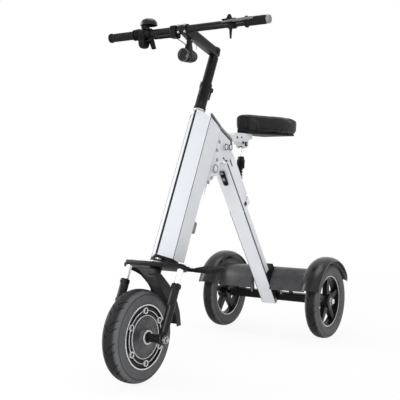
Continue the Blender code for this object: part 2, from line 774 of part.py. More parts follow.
def between(stations, place):
    """Values at a place, straight between the two nearest stations. A station starts with its place."""
    for before, after in zip(stations, stations[1:]):
        if place <= after[0]:
            break
    share = (place - before[0]) / (after[0] - before[0])
    return [low + (high - low) * share for low, high in zip(before[1:], after[1:])]


def guard_section(half_width, right_skirt, left_skirt, wall):
    """Across and inward of the mudguard's U section, walls included."""
    right_edge = min(0.007, right_skirt * 0.45)
    left_edge = min(0.007, left_skirt * 0.45)
    outer = [(-half_width, -right_skirt), (-half_width, -right_edge), (-half_width + right_edge, 0.0)]
    outer += [(half_width - left_edge, 0.0), (half_width, -left_edge), (half_width, -left_skirt)]
    inside = half_width - wall
    inner = [(inside, -left_skirt), (inside, -left_edge - wall / 2), (half_width - left_edge, -wall)]
    inner += [(right_edge - half_width, -wall), (-inside, -right_edge - wall / 2), (-inside, -right_skirt)]
    return outer + inner


def build_front_mudguard(steering):
    """A curved guard from under the crown to behind the wheel, with a deeper skirt on its left."""
    guard_frame = add_frame("front_mudguard_frame", steering, (0.0, 0.0, 0.0), STEERING_RAKE)
    rings = []
    for degrees, radius, right_skirt, left_skirt in MUDGUARD_STATIONS:
        angle = math.radians(degrees)
        ring = []
        for across, inward in guard_section(MUDGUARD_HALF_WIDTH, right_skirt, left_skirt, MUDGUARD_WALL):
            reach = radius + inward
            ring.append((across, reach * math.sin(angle), reach * math.cos(angle)))
        rings.append(ring)
    guard = add_piece("front_mudguard", loft(rings), guard_frame, "black_plastic")
    post_bottom = between(MUDGUARD_STATIONS, math.degrees(STEERING_RAKE))[0] - MUDGUARD_WALL
    post = block((-0.014, 0.014), (-0.010, 0.010), (post_bottom, CROWN_BOTTOM - FIT_GAP))
    bmesh.ops.rotate(post, verts=post.verts, cent=(0, 0, 0), matrix=Matrix.Rotation(-STEERING_RAKE, 3, "X"))
    join(guard, post, "crown_post")


# Battery case


def case_outline():
    """The case's section, anticlockwise seen from above: a flat nose, flares and straight sides."""
    return [
        (-CASE_NOSE_HALF_WIDTH, -CASE_NOSE_LEAD),
        (CASE_NOSE_HALF_WIDTH, -CASE_NOSE_LEAD),
        (CASE_HALF_WIDTH, CASE_SHOULDER_BACK),
        (CASE_HALF_WIDTH, CASE_REAR_BACK),
        (-CASE_HALF_WIDTH, CASE_REAR_BACK),
        (-CASE_HALF_WIDTH, CASE_SHOULDER_BACK),
    ]


def build_case(steering):
    outline = case_outline()
    case = add_piece("head_case", outline_prism(outline, CASE_BOTTOM, CASE_TOP, "z"), steering, "silver_paint")
    cavity = outline_prism(offset_outline(outline, -CASE_WALL), CASE_BOTTOM - 0.01, CASE_TOP + 0.01, "z")
    cut(case, cavity, "cavity")
    groove = block(
        (-NOSE_GROOVE_HALF_WIDTH, NOSE_GROOVE_HALF_WIDTH),
        (-CASE_NOSE_LEAD - 0.01, -CASE_NOSE_LEAD + NOSE_GROOVE_DEPTH),
        (CASE_BOTTOM - 0.01, CASE_TOP + 0.01),
    )
    cut(case, groove, "nose_groove")
    port_y = CASE_REAR_BACK
    spigot_centre = (CHARGE_PORT_OFFSET, 0.0, CHARGE_PORT_HEIGHT)
    hole = disc(CHARGE_SPIGOT_RADIUS + FIT_GAP, port_y - 0.01, port_y + 0.01, "y", spigot_centre, 16)
    cut(case, hole, "charge_hole")

    port_shape = block(
        (CHARGE_PORT_OFFSET - CHARGE_PORT_HALF_WIDTH, CHARGE_PORT_OFFSET + CHARGE_PORT_HALF_WIDTH),
        (port_y + FIT_GAP, port_y + CHARGE_PORT_DEPTH),
        (CHARGE_PORT_HEIGHT - CHARGE_PORT_HALF_HEIGHT, CHARGE_PORT_HEIGHT + CHARGE_PORT_HALF_HEIGHT),
    )
    soften(port_shape, 0.003, runs_along("y"), 1)
    port = add_piece("charge_port", port_shape, steering, "black_plastic")
    join(port, disc(CHARGE_SPIGOT_RADIUS, port_y - 0.005, port_y + 0.004, "y", spigot_centre, 16), "spigot")

    flange_top = CASE_BOTTOM - FIT_GAP
    flange_bottom = flange_top - BASE_FLANGE_HEIGHT
    flange_outline = offset_outline(outline, BASE_FLANGE_LIP)
    base = add_piece("base_casting", outline_prism(flange_outline, flange_bottom, flange_top, "z"), steering, "black_paint")
    cut(base, disc(STEERER_RADIUS + RUNNING_GAP, flange_bottom - 0.01, flange_top + 0.01, steps=16), "steerer_hole")

    cap_bottom = CASE_TOP + FIT_GAP
    cap_shape = outline_prism(outline, cap_bottom, CAP_TOP, "z")
    for side in (1, -1):
        slope = Vector((side * CASE_CAP_HEIGHT, 0.0, CASE_HALF_WIDTH - CASE_CAP_RIDGE_HALF_WIDTH)).normalized()
        ridge = (side * CASE_CAP_RIDGE_HALF_WIDTH, 0.0, CAP_TOP)
        lid = cap_shape.verts[:] + cap_shape.edges[:] + cap_shape.faces[:]
        cuts = bmesh.ops.bisect_plane(cap_shape, geom=lid, plane_co=ridge, plane_no=slope, clear_outer=True)
        rim = [item for item in cuts["geom_cut"] if isinstance(item, bmesh.types.BMEdge)]
        bmesh.ops.edgeloop_fill(cap_shape, edges=rim)
    bmesh.ops.recalc_face_normals(cap_shape, faces=cap_shape.faces)
    cap = add_piece("top_cap", cap_shape, steering, "silver_paint")
    cut(cap, disc(STEERER_RADIUS + RUNNING_GAP, cap_bottom - 0.01, CAP_TOP + 0.01, steps=16), "steerer_hole")

    inside = offset_outline(outline, -CASE_WALL - PACK_CLEARANCE)
    pack_front = STEERER_RADIUS + PACK_CLEARANCE + 0.002
    pack_half = inside[3][0]
    pack_rear = inside[3][1] - 0.005
    pack_bottom = CASE_BOTTOM + BATTERY_FOOT_ROOM
    pack_shape = block((-pack_half, pack_half), (pack_front, pack_rear), (pack_bottom, pack_bottom + BATTERY_LENGTH))
    soften(pack_shape, 0.004, runs_along("z"), 1)
    add_piece("battery_pack", pack_shape, steering, "blue_wrap")
    controller_low = pack_bottom + BATTERY_LENGTH + BATTERY_TO_CONTROLLER
    controller_half = pack_half - 0.004
    controller = block(
        (-controller_half, controller_half),
        (pack_front, pack_rear),
        (controller_low, controller_low + CONTROLLER_LENGTH),
    )
    add_piece("motor_controller", controller, steering, "grey_plastic")


# Folding bracket and its bolts


def build_bracket(steering):
    """A U of two side plates on a spine, bolted behind the case."""
    leg_back, leg_up = LEG_PIVOT_BACK, LEG_PIVOT_HEIGHT
    seat_back, seat_up = SEAT_PIVOT_BACK, SEAT_PIVOT_HEIGHT
    outline = [
        (SPINE_FRONT, leg_up - 0.101),
        (leg_back - 0.021, leg_up - 0.067),
        (leg_back + 0.005, leg_up - 0.029),
        (leg_back + 0.025, leg_up - 0.0055),
        (leg_back + 0.018, leg_up + 0.022),
        (seat_back + 0.012, seat_up - 0.0385),
        (seat_back + 0.065, seat_up - 0.008),
        (seat_back + 0.0385, seat_up + 0.010),
        (seat_back + 0.023, seat_up + 0.0355),
        (SPINE_REAR + 0.003, seat_up + 0.0375),
        (SPINE_REAR, CASE_TOP + 0.004),
        (SPINE_FRONT, CASE_TOP + 0.004),
    ]
    plates = add_piece("pivot_bracket", outline_prism(outline, -PLATE_OUTER, PLATE_OUTER, "x"), steering, "silver_paint")
    throat = block((-PLATE_INNER, PLATE_INNER), (SPINE_REAR, SPINE_REAR + 0.3), (leg_up - 0.2, CASE_TOP + 0.1))
    cut(plates, throat, "throat")
    stop_back, stop_up = across_and_along(SEAT_STOP_REACH, 0.0)
    bolts = (
        ("leg_pivot_bolt", leg_back, leg_up, LEG_PIVOT_RADIUS, BIG_BOLT_HEAD_RADIUS),
        ("seat_arm_bolt", seat_back, seat_up, SEAT_BOLT_RADIUS, SMALL_BOLT_HEAD_RADIUS),
        ("seat_stop_bolt", seat_back + stop_back, seat_up + stop_up, SEAT_BOLT_RADIUS, SMALL_BOLT_HEAD_RADIUS),
    )
    for name, back, up, radius, head_radius in bolts:
        centre = (0.0, back, up)
        reach = PLATE_OUTER + FIT_GAP
        end = reach + BOLT_HEAD_HEIGHT
        profile = [
            (0.0, -end),
            (head_radius, -end),
            (head_radius, -reach),
            (radius, -reach),
            (radius, reach),
            (head_radius, reach),
            (head_radius, end),
            (0.0, end),
        ]
        add_piece(name, turned(profile, "x", centre, 18), steering, "silver_paint")
        cut(plates, disc(radius + FIT_GAP, -0.06, 0.06, "x", centre, 18), f"{name}_hole")


def across_and_along(back, up):
    """A level (back, up) step turned into one across and along the steering axis."""
    sine = math.sin(STEERING_RAKE)
    cosine = math.cos(STEERING_RAKE)
    return back * cosine - up * sine, back * sine + up * cosine


# Steering column


def build_column(steering):
    steerer_top = SLEEVE_BOTTOM + SLEEVE_PLUG - 0.001
    inner = STEERER_RADIUS - STEERER_WALL
    steerer = pipe(STEERER_RADIUS, inner, CROWN_BOTTOM, steerer_top, steps=16)
    add_piece("steerer", steerer, steering, "steel")
    bore = STEERER_RADIUS + FIT_GAP
    collar_profile = [
        (COLLAR_RADIUS, COLLAR_BOTTOM),
        (COLLAR_RADIUS, COLLAR_BOTTOM + COLLAR_HEIGHT - 0.001),
        (COLLAR_RADIUS - 0.001, COLLAR_BOTTOM + COLLAR_HEIGHT),
        (bore, COLLAR_BOTTOM + COLLAR_HEIGHT),
        (bore, COLLAR_BOTTOM),
    ]
    add_piece("headset_collar", turned(collar_profile, closed=True), steering, "silver_paint")

    slide_bore = COLUMN_RADIUS + FIT_GAP
    band_bottom = SLEEVE_TOP - CLAMP_BAND_HEIGHT
    sleeve_profile = [
        (SLEEVE_RADIUS + 0.0015, SLEEVE_BOTTOM),
        (SLEEVE_RADIUS + 0.0015, SLEEVE_BOTTOM + 0.005),
        (SLEEVE_RADIUS, SLEEVE_BOTTOM + 0.008),
        (SLEEVE_RADIUS, band_bottom),
        (CLAMP_BAND_RADIUS, band_bottom),
        (CLAMP_BAND_RADIUS, SLEEVE_TOP),
        (slide_bore, SLEEVE_TOP),
        (slide_bore, SLEEVE_BOTTOM + SLEEVE_PLUG),
        (bore, SLEEVE_BOTTOM + SLEEVE_PLUG),
        (bore, SLEEVE_BOTTOM),
    ]
    sleeve = add_piece("column_sleeve", turned(sleeve_profile, steps=20, closed=True), steering, "black_paint")
    ear_mid = SLEEVE_TOP - CLAMP_BAND_HEIGHT / 2
    ear_start = slide_bore + FIT_GAP
    ears = block((-CLAMP_EAR_HALF_WIDTH, CLAMP_EAR_HALF_WIDTH), (ear_start, CLAMP_EAR_BACK), (ear_mid - 0.006, ear_mid + 0.006))
    join(sleeve, ears, "ears")
    throat_half = CLAMP_LEVER_HALF_WIDTH + FIT_GAP
    throat = block((-throat_half, throat_half), (CLAMP_BAND_RADIUS + 0.001, CLAMP_EAR_BACK + 0.01), (ear_mid - 0.02, ear_mid + 0.02))
    cut(sleeve, throat, "lever_throat")
    pivot_back = CLAMP_EAR_BACK - 0.004
    pin = 0.002
    cut(sleeve, disc(pin + FIT_GAP, -0.02, 0.02, "x", (0.0, pivot_back, ear_mid), 10), "pin_hole")

    lever_frame = add_frame("clamp_lever_pivot", steering, (0.0, pivot_back, ear_mid))
    lever_outline = arc_points((0.0, 0.0), 0.0038, math.radians(0), math.radians(180), 6)
    lever_outline += [(-0.0025, -CLAMP_LEVER_LENGTH), (0.0025, -CLAMP_LEVER_LENGTH - 0.002)]
    lever_shape = outline_prism(lever_outline, -CLAMP_LEVER_HALF_WIDTH, CLAMP_LEVER_HALF_WIDTH, "x")
    lever = add_piece("clamp_lever", lever_shape, lever_frame, "steel")
    join(lever, disc(pin, -CLAMP_EAR_HALF_WIDTH, CLAMP_EAR_HALF_WIDTH, "x", steps=10), "pin")

    head_radius = STEM_ROOT_HEIGHT / 2
    column_profile = [
        (COLUMN_RADIUS, SLEEVE_BOTTOM + COLUMN_FOOT_ABOVE_SLEEVE),
        (COLUMN_RADIUS, STEM_HINGE_HEIGHT - head_radius - 0.004),
        (0.0, STEM_HINGE_HEIGHT - head_radius - 0.004),
        (0.0, STEM_HINGE_HEIGHT - head_radius - 0.008),
        (COLUMN_RADIUS - COLUMN_WALL, STEM_HINGE_HEIGHT - head_radius - 0.008),
        (COLUMN_RADIUS - COLUMN_WALL, SLEEVE_BOTTOM + COLUMN_FOOT_ABOVE_SLEEVE),
    ]
    column = add_piece("column_tube", turned_cup(column_profile), steering, "black_paint")
    tongue_half = STEM_HALF_WIDTH - STEM_CHEEK - FIT_GAP
    tongue = arc_points((0.0, STEM_HINGE_HEIGHT), head_radius - 0.001, 0.0, math.pi, 9)
    tongue += [(-head_radius + 0.001, STEM_HINGE_HEIGHT - head_radius - 0.006), (head_radius - 0.001, STEM_HINGE_HEIGHT - head_radius - 0.006)]
    join(column, outline_prism(tongue, -tongue_half, tongue_half, "x"), "tongue")
    cut(column, disc(STEM_PIN_RADIUS + FIT_GAP, -0.03, 0.03, "x", (0.0, 0.0, STEM_HINGE_HEIGHT), 14), "pin_hole")


def turned_cup(profile):
    """A lathe shape whose open profile has two points on the axis."""
    start = [index for index, point in enumerate(profile) if point[0] == 0.0][1]
    reordered = profile[start:] + profile[:start]
    return turned(reordered, "z", steps=ROUND_STEPS)


# Stem and handlebar


def build_stem(stem_hinge, bar_frame):
    """The stem runs forward and up from the column, in its own tipped frame."""
    arm_frame = add_frame("stem_arm_frame", stem_hinge, (0.0, 0.0, 0.0), -STEM_RISE)
    root = STEM_ROOT_HEIGHT / 2
    outline = arc_points((0.0, 0.0), root, -math.pi / 2, math.pi / 2, 9)
    outline += arc_points((-STEM_REACH, 0.0), STEM_CLAMP_RADIUS, math.pi / 2, 3 * math.pi / 2, 9)
    outline += [(-STEM_REACH + 0.030, -STEM_CLAMP_RADIUS - 0.004), (-STEM_REACH + 0.060, -root + 0.001)]
    arm = add_piece("stem_arm", outline_prism(outline, -STEM_HALF_WIDTH, STEM_HALF_WIDTH, "x"), arm_frame, "black_paint")
    throat_half = STEM_HALF_WIDTH - STEM_CHEEK
    throat = block((-throat_half, throat_half), (-root - 0.006, root + 0.02), (-root - 0.02, root + 0.02))
    cut(arm, throat, "hinge_throat")
    join(arm, disc(STEM_PIN_RADIUS, -STEM_HALF_WIDTH - 0.002, STEM_HALF_WIDTH + 0.002, "x", steps=14), "hinge_pin")
    bar_centre = (0.0, -STEM_REACH, 0.0)
    cut(arm, disc(BAR_RADIUS + FIT_GAP, -0.03, 0.03, "x", bar_centre, 16), "bar_hole")
    lug_centre, lug_top = headlight_pivot_in_arm()
    lug = arc_points(lug_centre, HEADLIGHT_EAR_RADIUS, math.pi, 2 * math.pi, 7)
    lug += [(lug_centre[0] + 0.010, lug_top), (lug_centre[0] - 0.010, lug_top)]
    join(arm, outline_prism(lug, -HEADLIGHT_LUG_HALF_WIDTH, HEADLIGHT_LUG_HALF_WIDTH, "x"), "headlight_lug")
    hole_centre = (0.0, lug_centre[0], lug_centre[1])
    cut(arm, disc(HEADLIGHT_PIN_RADIUS + FIT_GAP, -0.03, 0.03, "x", hole_centre, 12), "headlight_hole")

    bar = pipe(BAR_RADIUS, BAR_RADIUS - BAR_WALL, -BAR_HALF_LENGTH + 0.003, BAR_HALF_LENGTH - 0.003, "x", steps=16)
    add_piece("handlebar", bar, bar_frame, "black_paint")
    for side, label, length in ((1, "left", LEFT_GRIP_LENGTH), (-1, "right", RIGHT_GRIP_LENGTH)):
        bore = BAR_RADIUS + FIT_GAP
        inner_end = BAR_HALF_LENGTH - length
        profile = [
            (bore, inner_end),
            (GRIP_FLANGE_RADIUS, inner_end),
            (GRIP_FLANGE_RADIUS, inner_end + GRIP_FLANGE_WIDTH),
            (GRIP_RADIUS, inner_end + GRIP_FLANGE_WIDTH + 0.001),
            (GRIP_RADIUS, BAR_HALF_LENGTH - GRIP_END_WIDTH - 0.001),
            (GRIP_END_RADIUS, BAR_HALF_LENGTH - GRIP_END_WIDTH),
            (GRIP_END_RADIUS, BAR_HALF_LENGTH - 0.001),
            (GRIP_END_RADIUS - 0.002, BAR_HALF_LENGTH),
            (0.0, BAR_HALF_LENGTH),
            (0.0, BAR_HALF_LENGTH - GRIP_END_WALL),
            (bore, BAR_HALF_LENGTH - GRIP_END_WALL),
        ]
        mirrored = [(radius, side * place) for radius, place in profile]
        add_piece(f"grip_{label}", turned(mirrored, "x", steps=18, closed=True), bar_frame, "black_rubber")


def headlight_pivot_in_arm():
    """The headlight's pivot in the stem arm's tipped frame, and the arm's height above it."""
    back = HEADLIGHT_PIVOT_BACK - HEADLIGHT_LEAD
    rise = HEADLIGHT_PIVOT_RISE - HEADLIGHT_DROP
    cosine = math.cos(STEM_RISE)
    sine = math.sin(STEM_RISE)
    across = back * cosine - rise * sine
    up = back * sine + rise * cosine
    return (across - STEM_REACH, up), -0.010


def build_controls(bar_frame):
    bore = BAR_RADIUS + FIT_GAP
    width = THROTTLE_INNER_X - THROTTLE_OUTER_X
    ridges = []
    ridge_count = 4
    for index in range(ridge_count):
        start = THROTTLE_OUTER_X + width * index / ridge_count
        ridges += [(THROTTLE_RADIUS - 0.0012, start), (THROTTLE_RADIUS, start + 0.002)]
        ridges += [(THROTTLE_RADIUS, start + width / ridge_count - 0.002)]
    ridges += [(THROTTLE_RADIUS - 0.0012, THROTTLE_INNER_X), (bore, THROTTLE_INNER_X), (bore, THROTTLE_OUTER_X)]
    housing = add_piece("throttle_housing", turned(ridges, "x", steps=16, closed=True), bar_frame, "black_plastic")
    pod = block(
        (THROTTLE_INNER_X - 0.024, THROTTLE_INNER_X),
        (-SWITCH_POD_HALF_DEPTH, SWITCH_POD_HALF_DEPTH),
        (-SWITCH_POD_DROP, -BAR_RADIUS - 0.002),
    )
    soften(pod, 0.006, runs_along("x"), 2)
    join(housing, pod, "switch_pod")
    button_z = -SWITCH_POD_DROP + 0.016
    button_x = THROTTLE_INNER_X - 0.012
    button_face = SWITCH_POD_HALF_DEPTH
    well = disc(BUTTON_RADIUS + FIT_GAP, button_face - 0.007, button_face + 0.01, "y", (button_x, 0.0, button_z), 16)
    cut(housing, well, "button_well")
    button_frame = add_frame("power_button_rest", bar_frame, (button_x, button_face, button_z))
    button = disc(BUTTON_RADIUS, BUTTON_TRAVEL - 0.0065, BUTTON_PROUD, "y", steps=16)
    soften(button, 0.0008, lambda edge: all(v.co.y > BUTTON_PROUD - 1e-6 for v in edge.verts) and not edge.is_wire and min(math.hypot(v.co.x, v.co.z) for v in edge.verts) > BUTTON_RADIUS / 2)
    add_piece("power_button", button, button_frame, "grey_plastic")

    ring = pipe(PADDLE_RING_RADIUS, bore, PADDLE_OUTER_X, PADDLE_INNER_X, "x", steps=18)
    paddle = add_piece("throttle_lever", ring, bar_frame, "grey_plastic")
    lean = math.radians(-62)
    along = Vector((math.cos(lean), math.sin(lean)))
    over = Vector((-along.y, along.x))
    half = PADDLE_THICKNESS / 2
    blade = []
    for reach, width in ((0.0135, -half - 0.002), (PADDLE_REACH, -half * 0.7), (PADDLE_REACH, half * 0.7), (0.0135, half + 0.002)):
        blade.append(tuple(along * reach + over * width))
    join(paddle, outline_prism(blade, PADDLE_OUTER_X, PADDLE_INNER_X, "x"), "blade")

    build_bell(bar_frame)
    build_brake(bar_frame)
    build_cable(bar_frame)


def build_bell(bar_frame):
    """A dome on a short neck that stands on the throttle housing."""
    dome_profile = [(0.0, BELL_RISE), (BELL_RADIUS, BELL_RISE), (BELL_RADIUS, BELL_RISE + 0.004)]
    for index in range(1, 5):
        angle = math.radians(90 * index / 5)
        height = BELL_RISE + 0.004 + (BELL_DOME_HEIGHT - 0.004) * math.sin(angle)
        dome_profile.append((BELL_RADIUS * math.cos(angle), height))
    dome_profile.append((0.0, BELL_RISE + BELL_DOME_HEIGHT))
    bell = add_piece("bell", turned(dome_profile, "z", (BELL_X, 0.0, 0.0), 20), bar_frame, "black_paint")
    neck_low = THROTTLE_RADIUS + FIT_GAP
    neck = disc(BELL_NECK_RADIUS, neck_low, BELL_RISE + 0.002, "z", (BELL_NECK_X, 0.0, 0.0), 16)
    join(bell, neck, "neck")


def build_brake(bar_frame):
    bore = BAR_RADIUS + FIT_GAP
    band = pipe(PERCH_RADIUS, bore, PERCH_INNER_X, PERCH_INNER_X + PERCH_WIDTH, "x", steps=18)
    perch = add_piece("brake_perch", band, bar_frame, "black_paint")
    half = BRAKE_LEVER_THICKNESS / 2
    low, high = BRAKE_NOSE_LOW_X, BRAKE_NOSE_HIGH_X
    lead = BRAKE_PIVOT_LEAD + BRAKE_PIVOT_RADIUS
    nose = block((low, high), (-lead, -BAR_RADIUS - 0.002), (-half - 0.005, half + 0.005))
    soften(nose, 0.003, runs_along("z"), 1)
    join(perch, nose, "nose")
    slot_gap = FIT_GAP * 2
    back_wall = BRAKE_PIVOT_LEAD - BRAKE_PIVOT_RADIUS - 0.003
    slot = block((low - 0.01, high + 0.02), (-lead - 0.01, -back_wall), (-half - slot_gap, half + slot_gap))
    cut(perch, slot, "lever_slot")
    pin_centre = (BRAKE_PIVOT_X, -BRAKE_PIVOT_LEAD, 0.0)
    cut(perch, disc(BRAKE_PIN_RADIUS + FIT_GAP, -0.02, 0.02, "z", pin_centre, 12), "pin_hole")
    boot_top = -half - 0.004
    boot_profile = [
        (0.0, boot_top - BRAKE_BOOT_DROP),
        (0.0028, boot_top - BRAKE_BOOT_DROP),
        (0.0045, boot_top - 0.015),
        (0.0065, boot_top - 0.004),
        (0.0065, boot_top),
        (0.0, boot_top),
    ]
    boot_centre = (BRAKE_BOOT_X, -BAR_RADIUS - 0.012, 0.0)
    join(perch, turned(boot_profile, "z", boot_centre, 12), "boot")

    lever_frame = add_frame("brake_lever_pivot", bar_frame, (BRAKE_PIVOT_X, -BRAKE_PIVOT_LEAD, 0.0))
    tip = BRAKE_LEVER_LENGTH
    outline = arc_points((0.0, 0.0), BRAKE_PIVOT_RADIUS, math.radians(75), math.radians(285), 9)
    outline += [(0.030, -0.013), (tip - 0.008, -0.019), (tip, -0.018), (tip + 0.002, -0.012), (tip - 0.004, -0.0085)]
    outline += [(0.032, -0.003)]
    blade = outline_prism(outline, -half, half, "z")
    lever = add_piece("brake_lever", blade, lever_frame, "steel")
    join(lever, disc(BRAKE_PIN_RADIUS, -half - 0.005, half + 0.005, "z", steps=12), "pin")


def build_cable(bar_frame):
    """The control lead runs under the bar in a spiral wrap, through the junction box, to the stem."""
    bore = BAR_RADIUS + FIT_GAP
    box = block(
        (JUNCTION_OUTER_X, JUNCTION_INNER_X),
        (-JUNCTION_HALF_DEPTH, JUNCTION_HALF_DEPTH),
        (-JUNCTION_DROP, JUNCTION_RISE),
    )
    soften(box, 0.004, runs_along("x"), 1)
    junction = add_piece("junction_box", box, bar_frame, "black_plastic")
    cut(junction, disc(bore, -0.1, 0.1, "x", steps=18), "bar_bore")
    lead_centre = (0.0, -CABLE_LEAD, -CABLE_DROP)
    cut(junction, disc(CABLE_RADIUS + FIT_GAP, -0.1, 0.1, "x", lead_centre, 12), "lead_bore")

    start_x = THROTTLE_INNER_X + FIT_GAP
    end_x = -STEM_HALF_WIDTH - FIT_GAP
    high = -CABLE_DROP
    low = -CABLE_DROP - 0.005
    points = [(start_x, -CABLE_LEAD, low), (start_x + 0.006, -CABLE_LEAD, low)]
    steps = 8
    bend_start = start_x + 0.008
    bend_length = 0.022
    for index in range(steps + 1):
        share = index / steps
        ease = share * share * (3 - 2 * share)
        points.append((bend_start + bend_length * share, -CABLE_LEAD, low + (high - low) * ease))
    points += [(JUNCTION_OUTER_X, -CABLE_LEAD, high), (JUNCTION_INNER_X, -CABLE_LEAD, high), (end_x, -CABLE_LEAD, high)]
    add_cord("control_cable", points, CABLE_RADIUS, 2, bar_frame, "black_rubber")

    wrap_start = bend_start + bend_length + 0.002
    wrap_end = JUNCTION_OUTER_X - FIT_GAP
    end_run = 2 * WRAP_WIRE_RADIUS
    coil_length = wrap_end - wrap_start - 2 * end_run
    wrap = [(wrap_start, -CABLE_LEAD, high + WRAP_RADIUS)]
    total = WRAP_CURLS * WRAP_POINTS
    for index in range(total + 1):
        turn = 2 * math.pi * index / WRAP_POINTS
        along = wrap_start + end_run + coil_length * index / total
        across = WRAP_RADIUS * math.sin(turn)
        up = WRAP_RADIUS * math.cos(turn)
        wrap.append((along, -CABLE_LEAD + across, high + up))
    wrap.append((wrap_end, wrap[-1][1], wrap[-1][2]))
    add_cord("cable_wrap", wrap, WRAP_WIRE_RADIUS, 1, bar_frame, "black_plastic")
    print("cable_wrap least gap to itself, mm", round(1000 * least_gap(wrap, WRAP_WIRE_RADIUS, WRAP_POINTS // 2), 2))


def build_headlight(bar_frame):
    """A round lamp that hangs from the stem and tips about a cross pin."""
    lamp_frame = add_frame("headlight_frame", bar_frame, (0.0, -HEADLIGHT_LEAD, -HEADLIGHT_DROP))
    length = HEADLIGHT_LENGTH
    wall = 0.002
    shell_profile = [
        (0.0, length),
        (HEADLIGHT_RADIUS * 0.45, length - 0.001),
        (HEADLIGHT_RADIUS * 0.80, length - 0.008),
        (HEADLIGHT_RADIUS, length - 0.022),
        (HEADLIGHT_RADIUS, 0.006),
        (HEADLIGHT_RADIUS + 0.0008, 0.004),
        (HEADLIGHT_RADIUS + 0.0008, 0.0),
        (HEADLIGHT_RADIUS - wall, 0.0),
        (HEADLIGHT_RADIUS - wall, 0.014),
        (0.0, 0.022),
    ]
    shell = add_piece("headlight_shell", turned(shell_profile, "y", steps=20), lamp_frame, "black_plastic")
    pivot = (HEADLIGHT_PIVOT_BACK, HEADLIGHT_PIVOT_RISE)
    ear_inner = HEADLIGHT_LUG_HALF_WIDTH + FIT_GAP
    for side, label in ((1, "left"), (-1, "right")):
        ear = arc_points(pivot, HEADLIGHT_EAR_RADIUS, 0.0, math.pi, 7)
        ear += [(pivot[0] - 0.009, HEADLIGHT_RADIUS - 0.003), (pivot[0] + 0.009, HEADLIGHT_RADIUS - 0.003)]
        low, high = sorted((side * ear_inner, side * (ear_inner + HEADLIGHT_EAR_WIDTH)))
        join(shell, outline_prism(ear, low, high, "x"), f"ear_{label}")
    pin_reach = ear_inner + HEADLIGHT_EAR_WIDTH + 0.001
    join(shell, disc(HEADLIGHT_PIN_RADIUS, -pin_reach, pin_reach, "x", (0.0, *pivot), 12), "pin")

    lens_radius = HEADLIGHT_RADIUS - wall - FIT_GAP
    lens_profile = [
        (0.0, HEADLIGHT_LENS_DEPTH),
        (lens_radius, HEADLIGHT_LENS_DEPTH),
        (lens_radius, 0.001),
        (lens_radius * 0.7, -0.0015),
        (0.0, -0.0025),
    ]
    add_piece("headlight_lens", turned(lens_profile, "y", steps=20), lamp_frame, "lens")


# Seat


def build_seat(seat_pivot):
    """The arm, its pan and the saddle, in a level frame on the arm's pivot bolt."""
    arm_outline = [
        (-0.0340, 0.0920), (-0.0360, 0.0800), (-0.0135, 0.0690), (-0.0335, 0.0280), (-0.0200, 0.0060),
        (-0.0140, -0.0055), (-0.0050, -0.0145), (0.0060, -0.0140), (0.0300, -0.0110), (0.0500, 0.0080),
        (0.0800, 0.0210), (0.1400, 0.0210), (0.1560, 0.0100), (0.1650, 0.0010), (0.1770, 0.0010),
        (0.1860, 0.0110), (0.1900, 0.0280), (0.2150, 0.0340), (0.2150, SEAT_SHELF_RISE),
        (0.1050, SEAT_SHELF_RISE), (0.0870, 0.0400), (0.0500, 0.0480), (0.0080, 0.0710),
    ]
    half = SEAT_ARM_HALF_WIDTH
    arm = add_piece("seat_arm", outline_prism(arm_outline, -half, half, "x"), seat_pivot, "silver_paint")
    cut(arm, disc(SEAT_BOLT_RADIUS + FIT_GAP, -0.03, 0.03, "x", steps=16), "pivot_hole")
    slack = SEAT_BOLT_RADIUS + 2 * FIT_GAP
    slot_top = slack + SEAT_STOP_REACH * math.sin(SEAT_SWING)
    slot = block((-0.03, 0.03), (SEAT_STOP_REACH - slack, SEAT_STOP_REACH + slack), (-slack, slot_top))
    cut(arm, slot, "stop_slot")
    eye_half = SHOCK_EYE_HALF_WIDTH + 2 * FIT_GAP
    clear = SHOCK_EYE_RADIUS + 0.004
    eye_room = block(
        (-eye_half, eye_half),
        (SHOCK_TOP_BACK - clear, SHOCK_TOP_BACK + clear),
        (SHOCK_TOP_RISE - clear - 0.01, SHOCK_TOP_RISE + clear),
    )
    cut(arm, eye_room, "shock_slot")
    pin_centre = (0.0, SHOCK_TOP_BACK, SHOCK_TOP_RISE)
    cut(arm, disc(SHOCK_PIN_RADIUS + FIT_GAP, -0.03, 0.03, "x", pin_centre, 14), "shock_pin_hole")

    pan_bottom = SEAT_SHELF_RISE + FIT_GAP
    pan_rings = []
    for share in PAN_STATIONS:
        back = CUSHION_FRONT + CUSHION_LENGTH * share
        half = (cushion_half_width(share) - 0.005) * 0.85
        top = pan_bottom + PAN_THICKNESS + nose_rise(share)
        pan_rings.append([(-half, back, pan_bottom), (half, back, pan_bottom), (half, back, top), (-half, back, top)])
    add_piece("seat_pan", loft(pan_rings), seat_pivot, "black_plastic")
    add_piece("seat_cushion", loft(cushion_rings(pan_bottom + PAN_THICKNESS + FIT_GAP)), seat_pivot, "seat_vinyl")


PAN_STATIONS = (0.012, 0.05, 0.15, 0.30, 0.50, 0.72, 0.90)


def nose_rise(share):
    """How far the cushion's underside climbs towards its nose."""
    return 0.010 * max(0.0, 1 - share / 0.30)


def cushion_half_width(share):
    """The saddle's half width from its nose, 0, to its rear end, 1."""
    flare = min(1.0, share / 0.72)
    ease = flare * flare * (3 - 2 * flare)
    width = CUSHION_NOSE_HALF_WIDTH + (CUSHION_REAR_HALF_WIDTH - CUSHION_NOSE_HALF_WIDTH) * ease
    nose_round = math.sqrt(max(0.0, 1 - (1 - min(1.0, share / 0.05)) ** 2))
    tail = max(0.0, (share - 0.86) / 0.14)
    tail_round = math.sqrt(max(0.0, 1 - tail ** 2 * 0.5))
    return width * (0.62 + 0.38 * nose_round) * tail_round


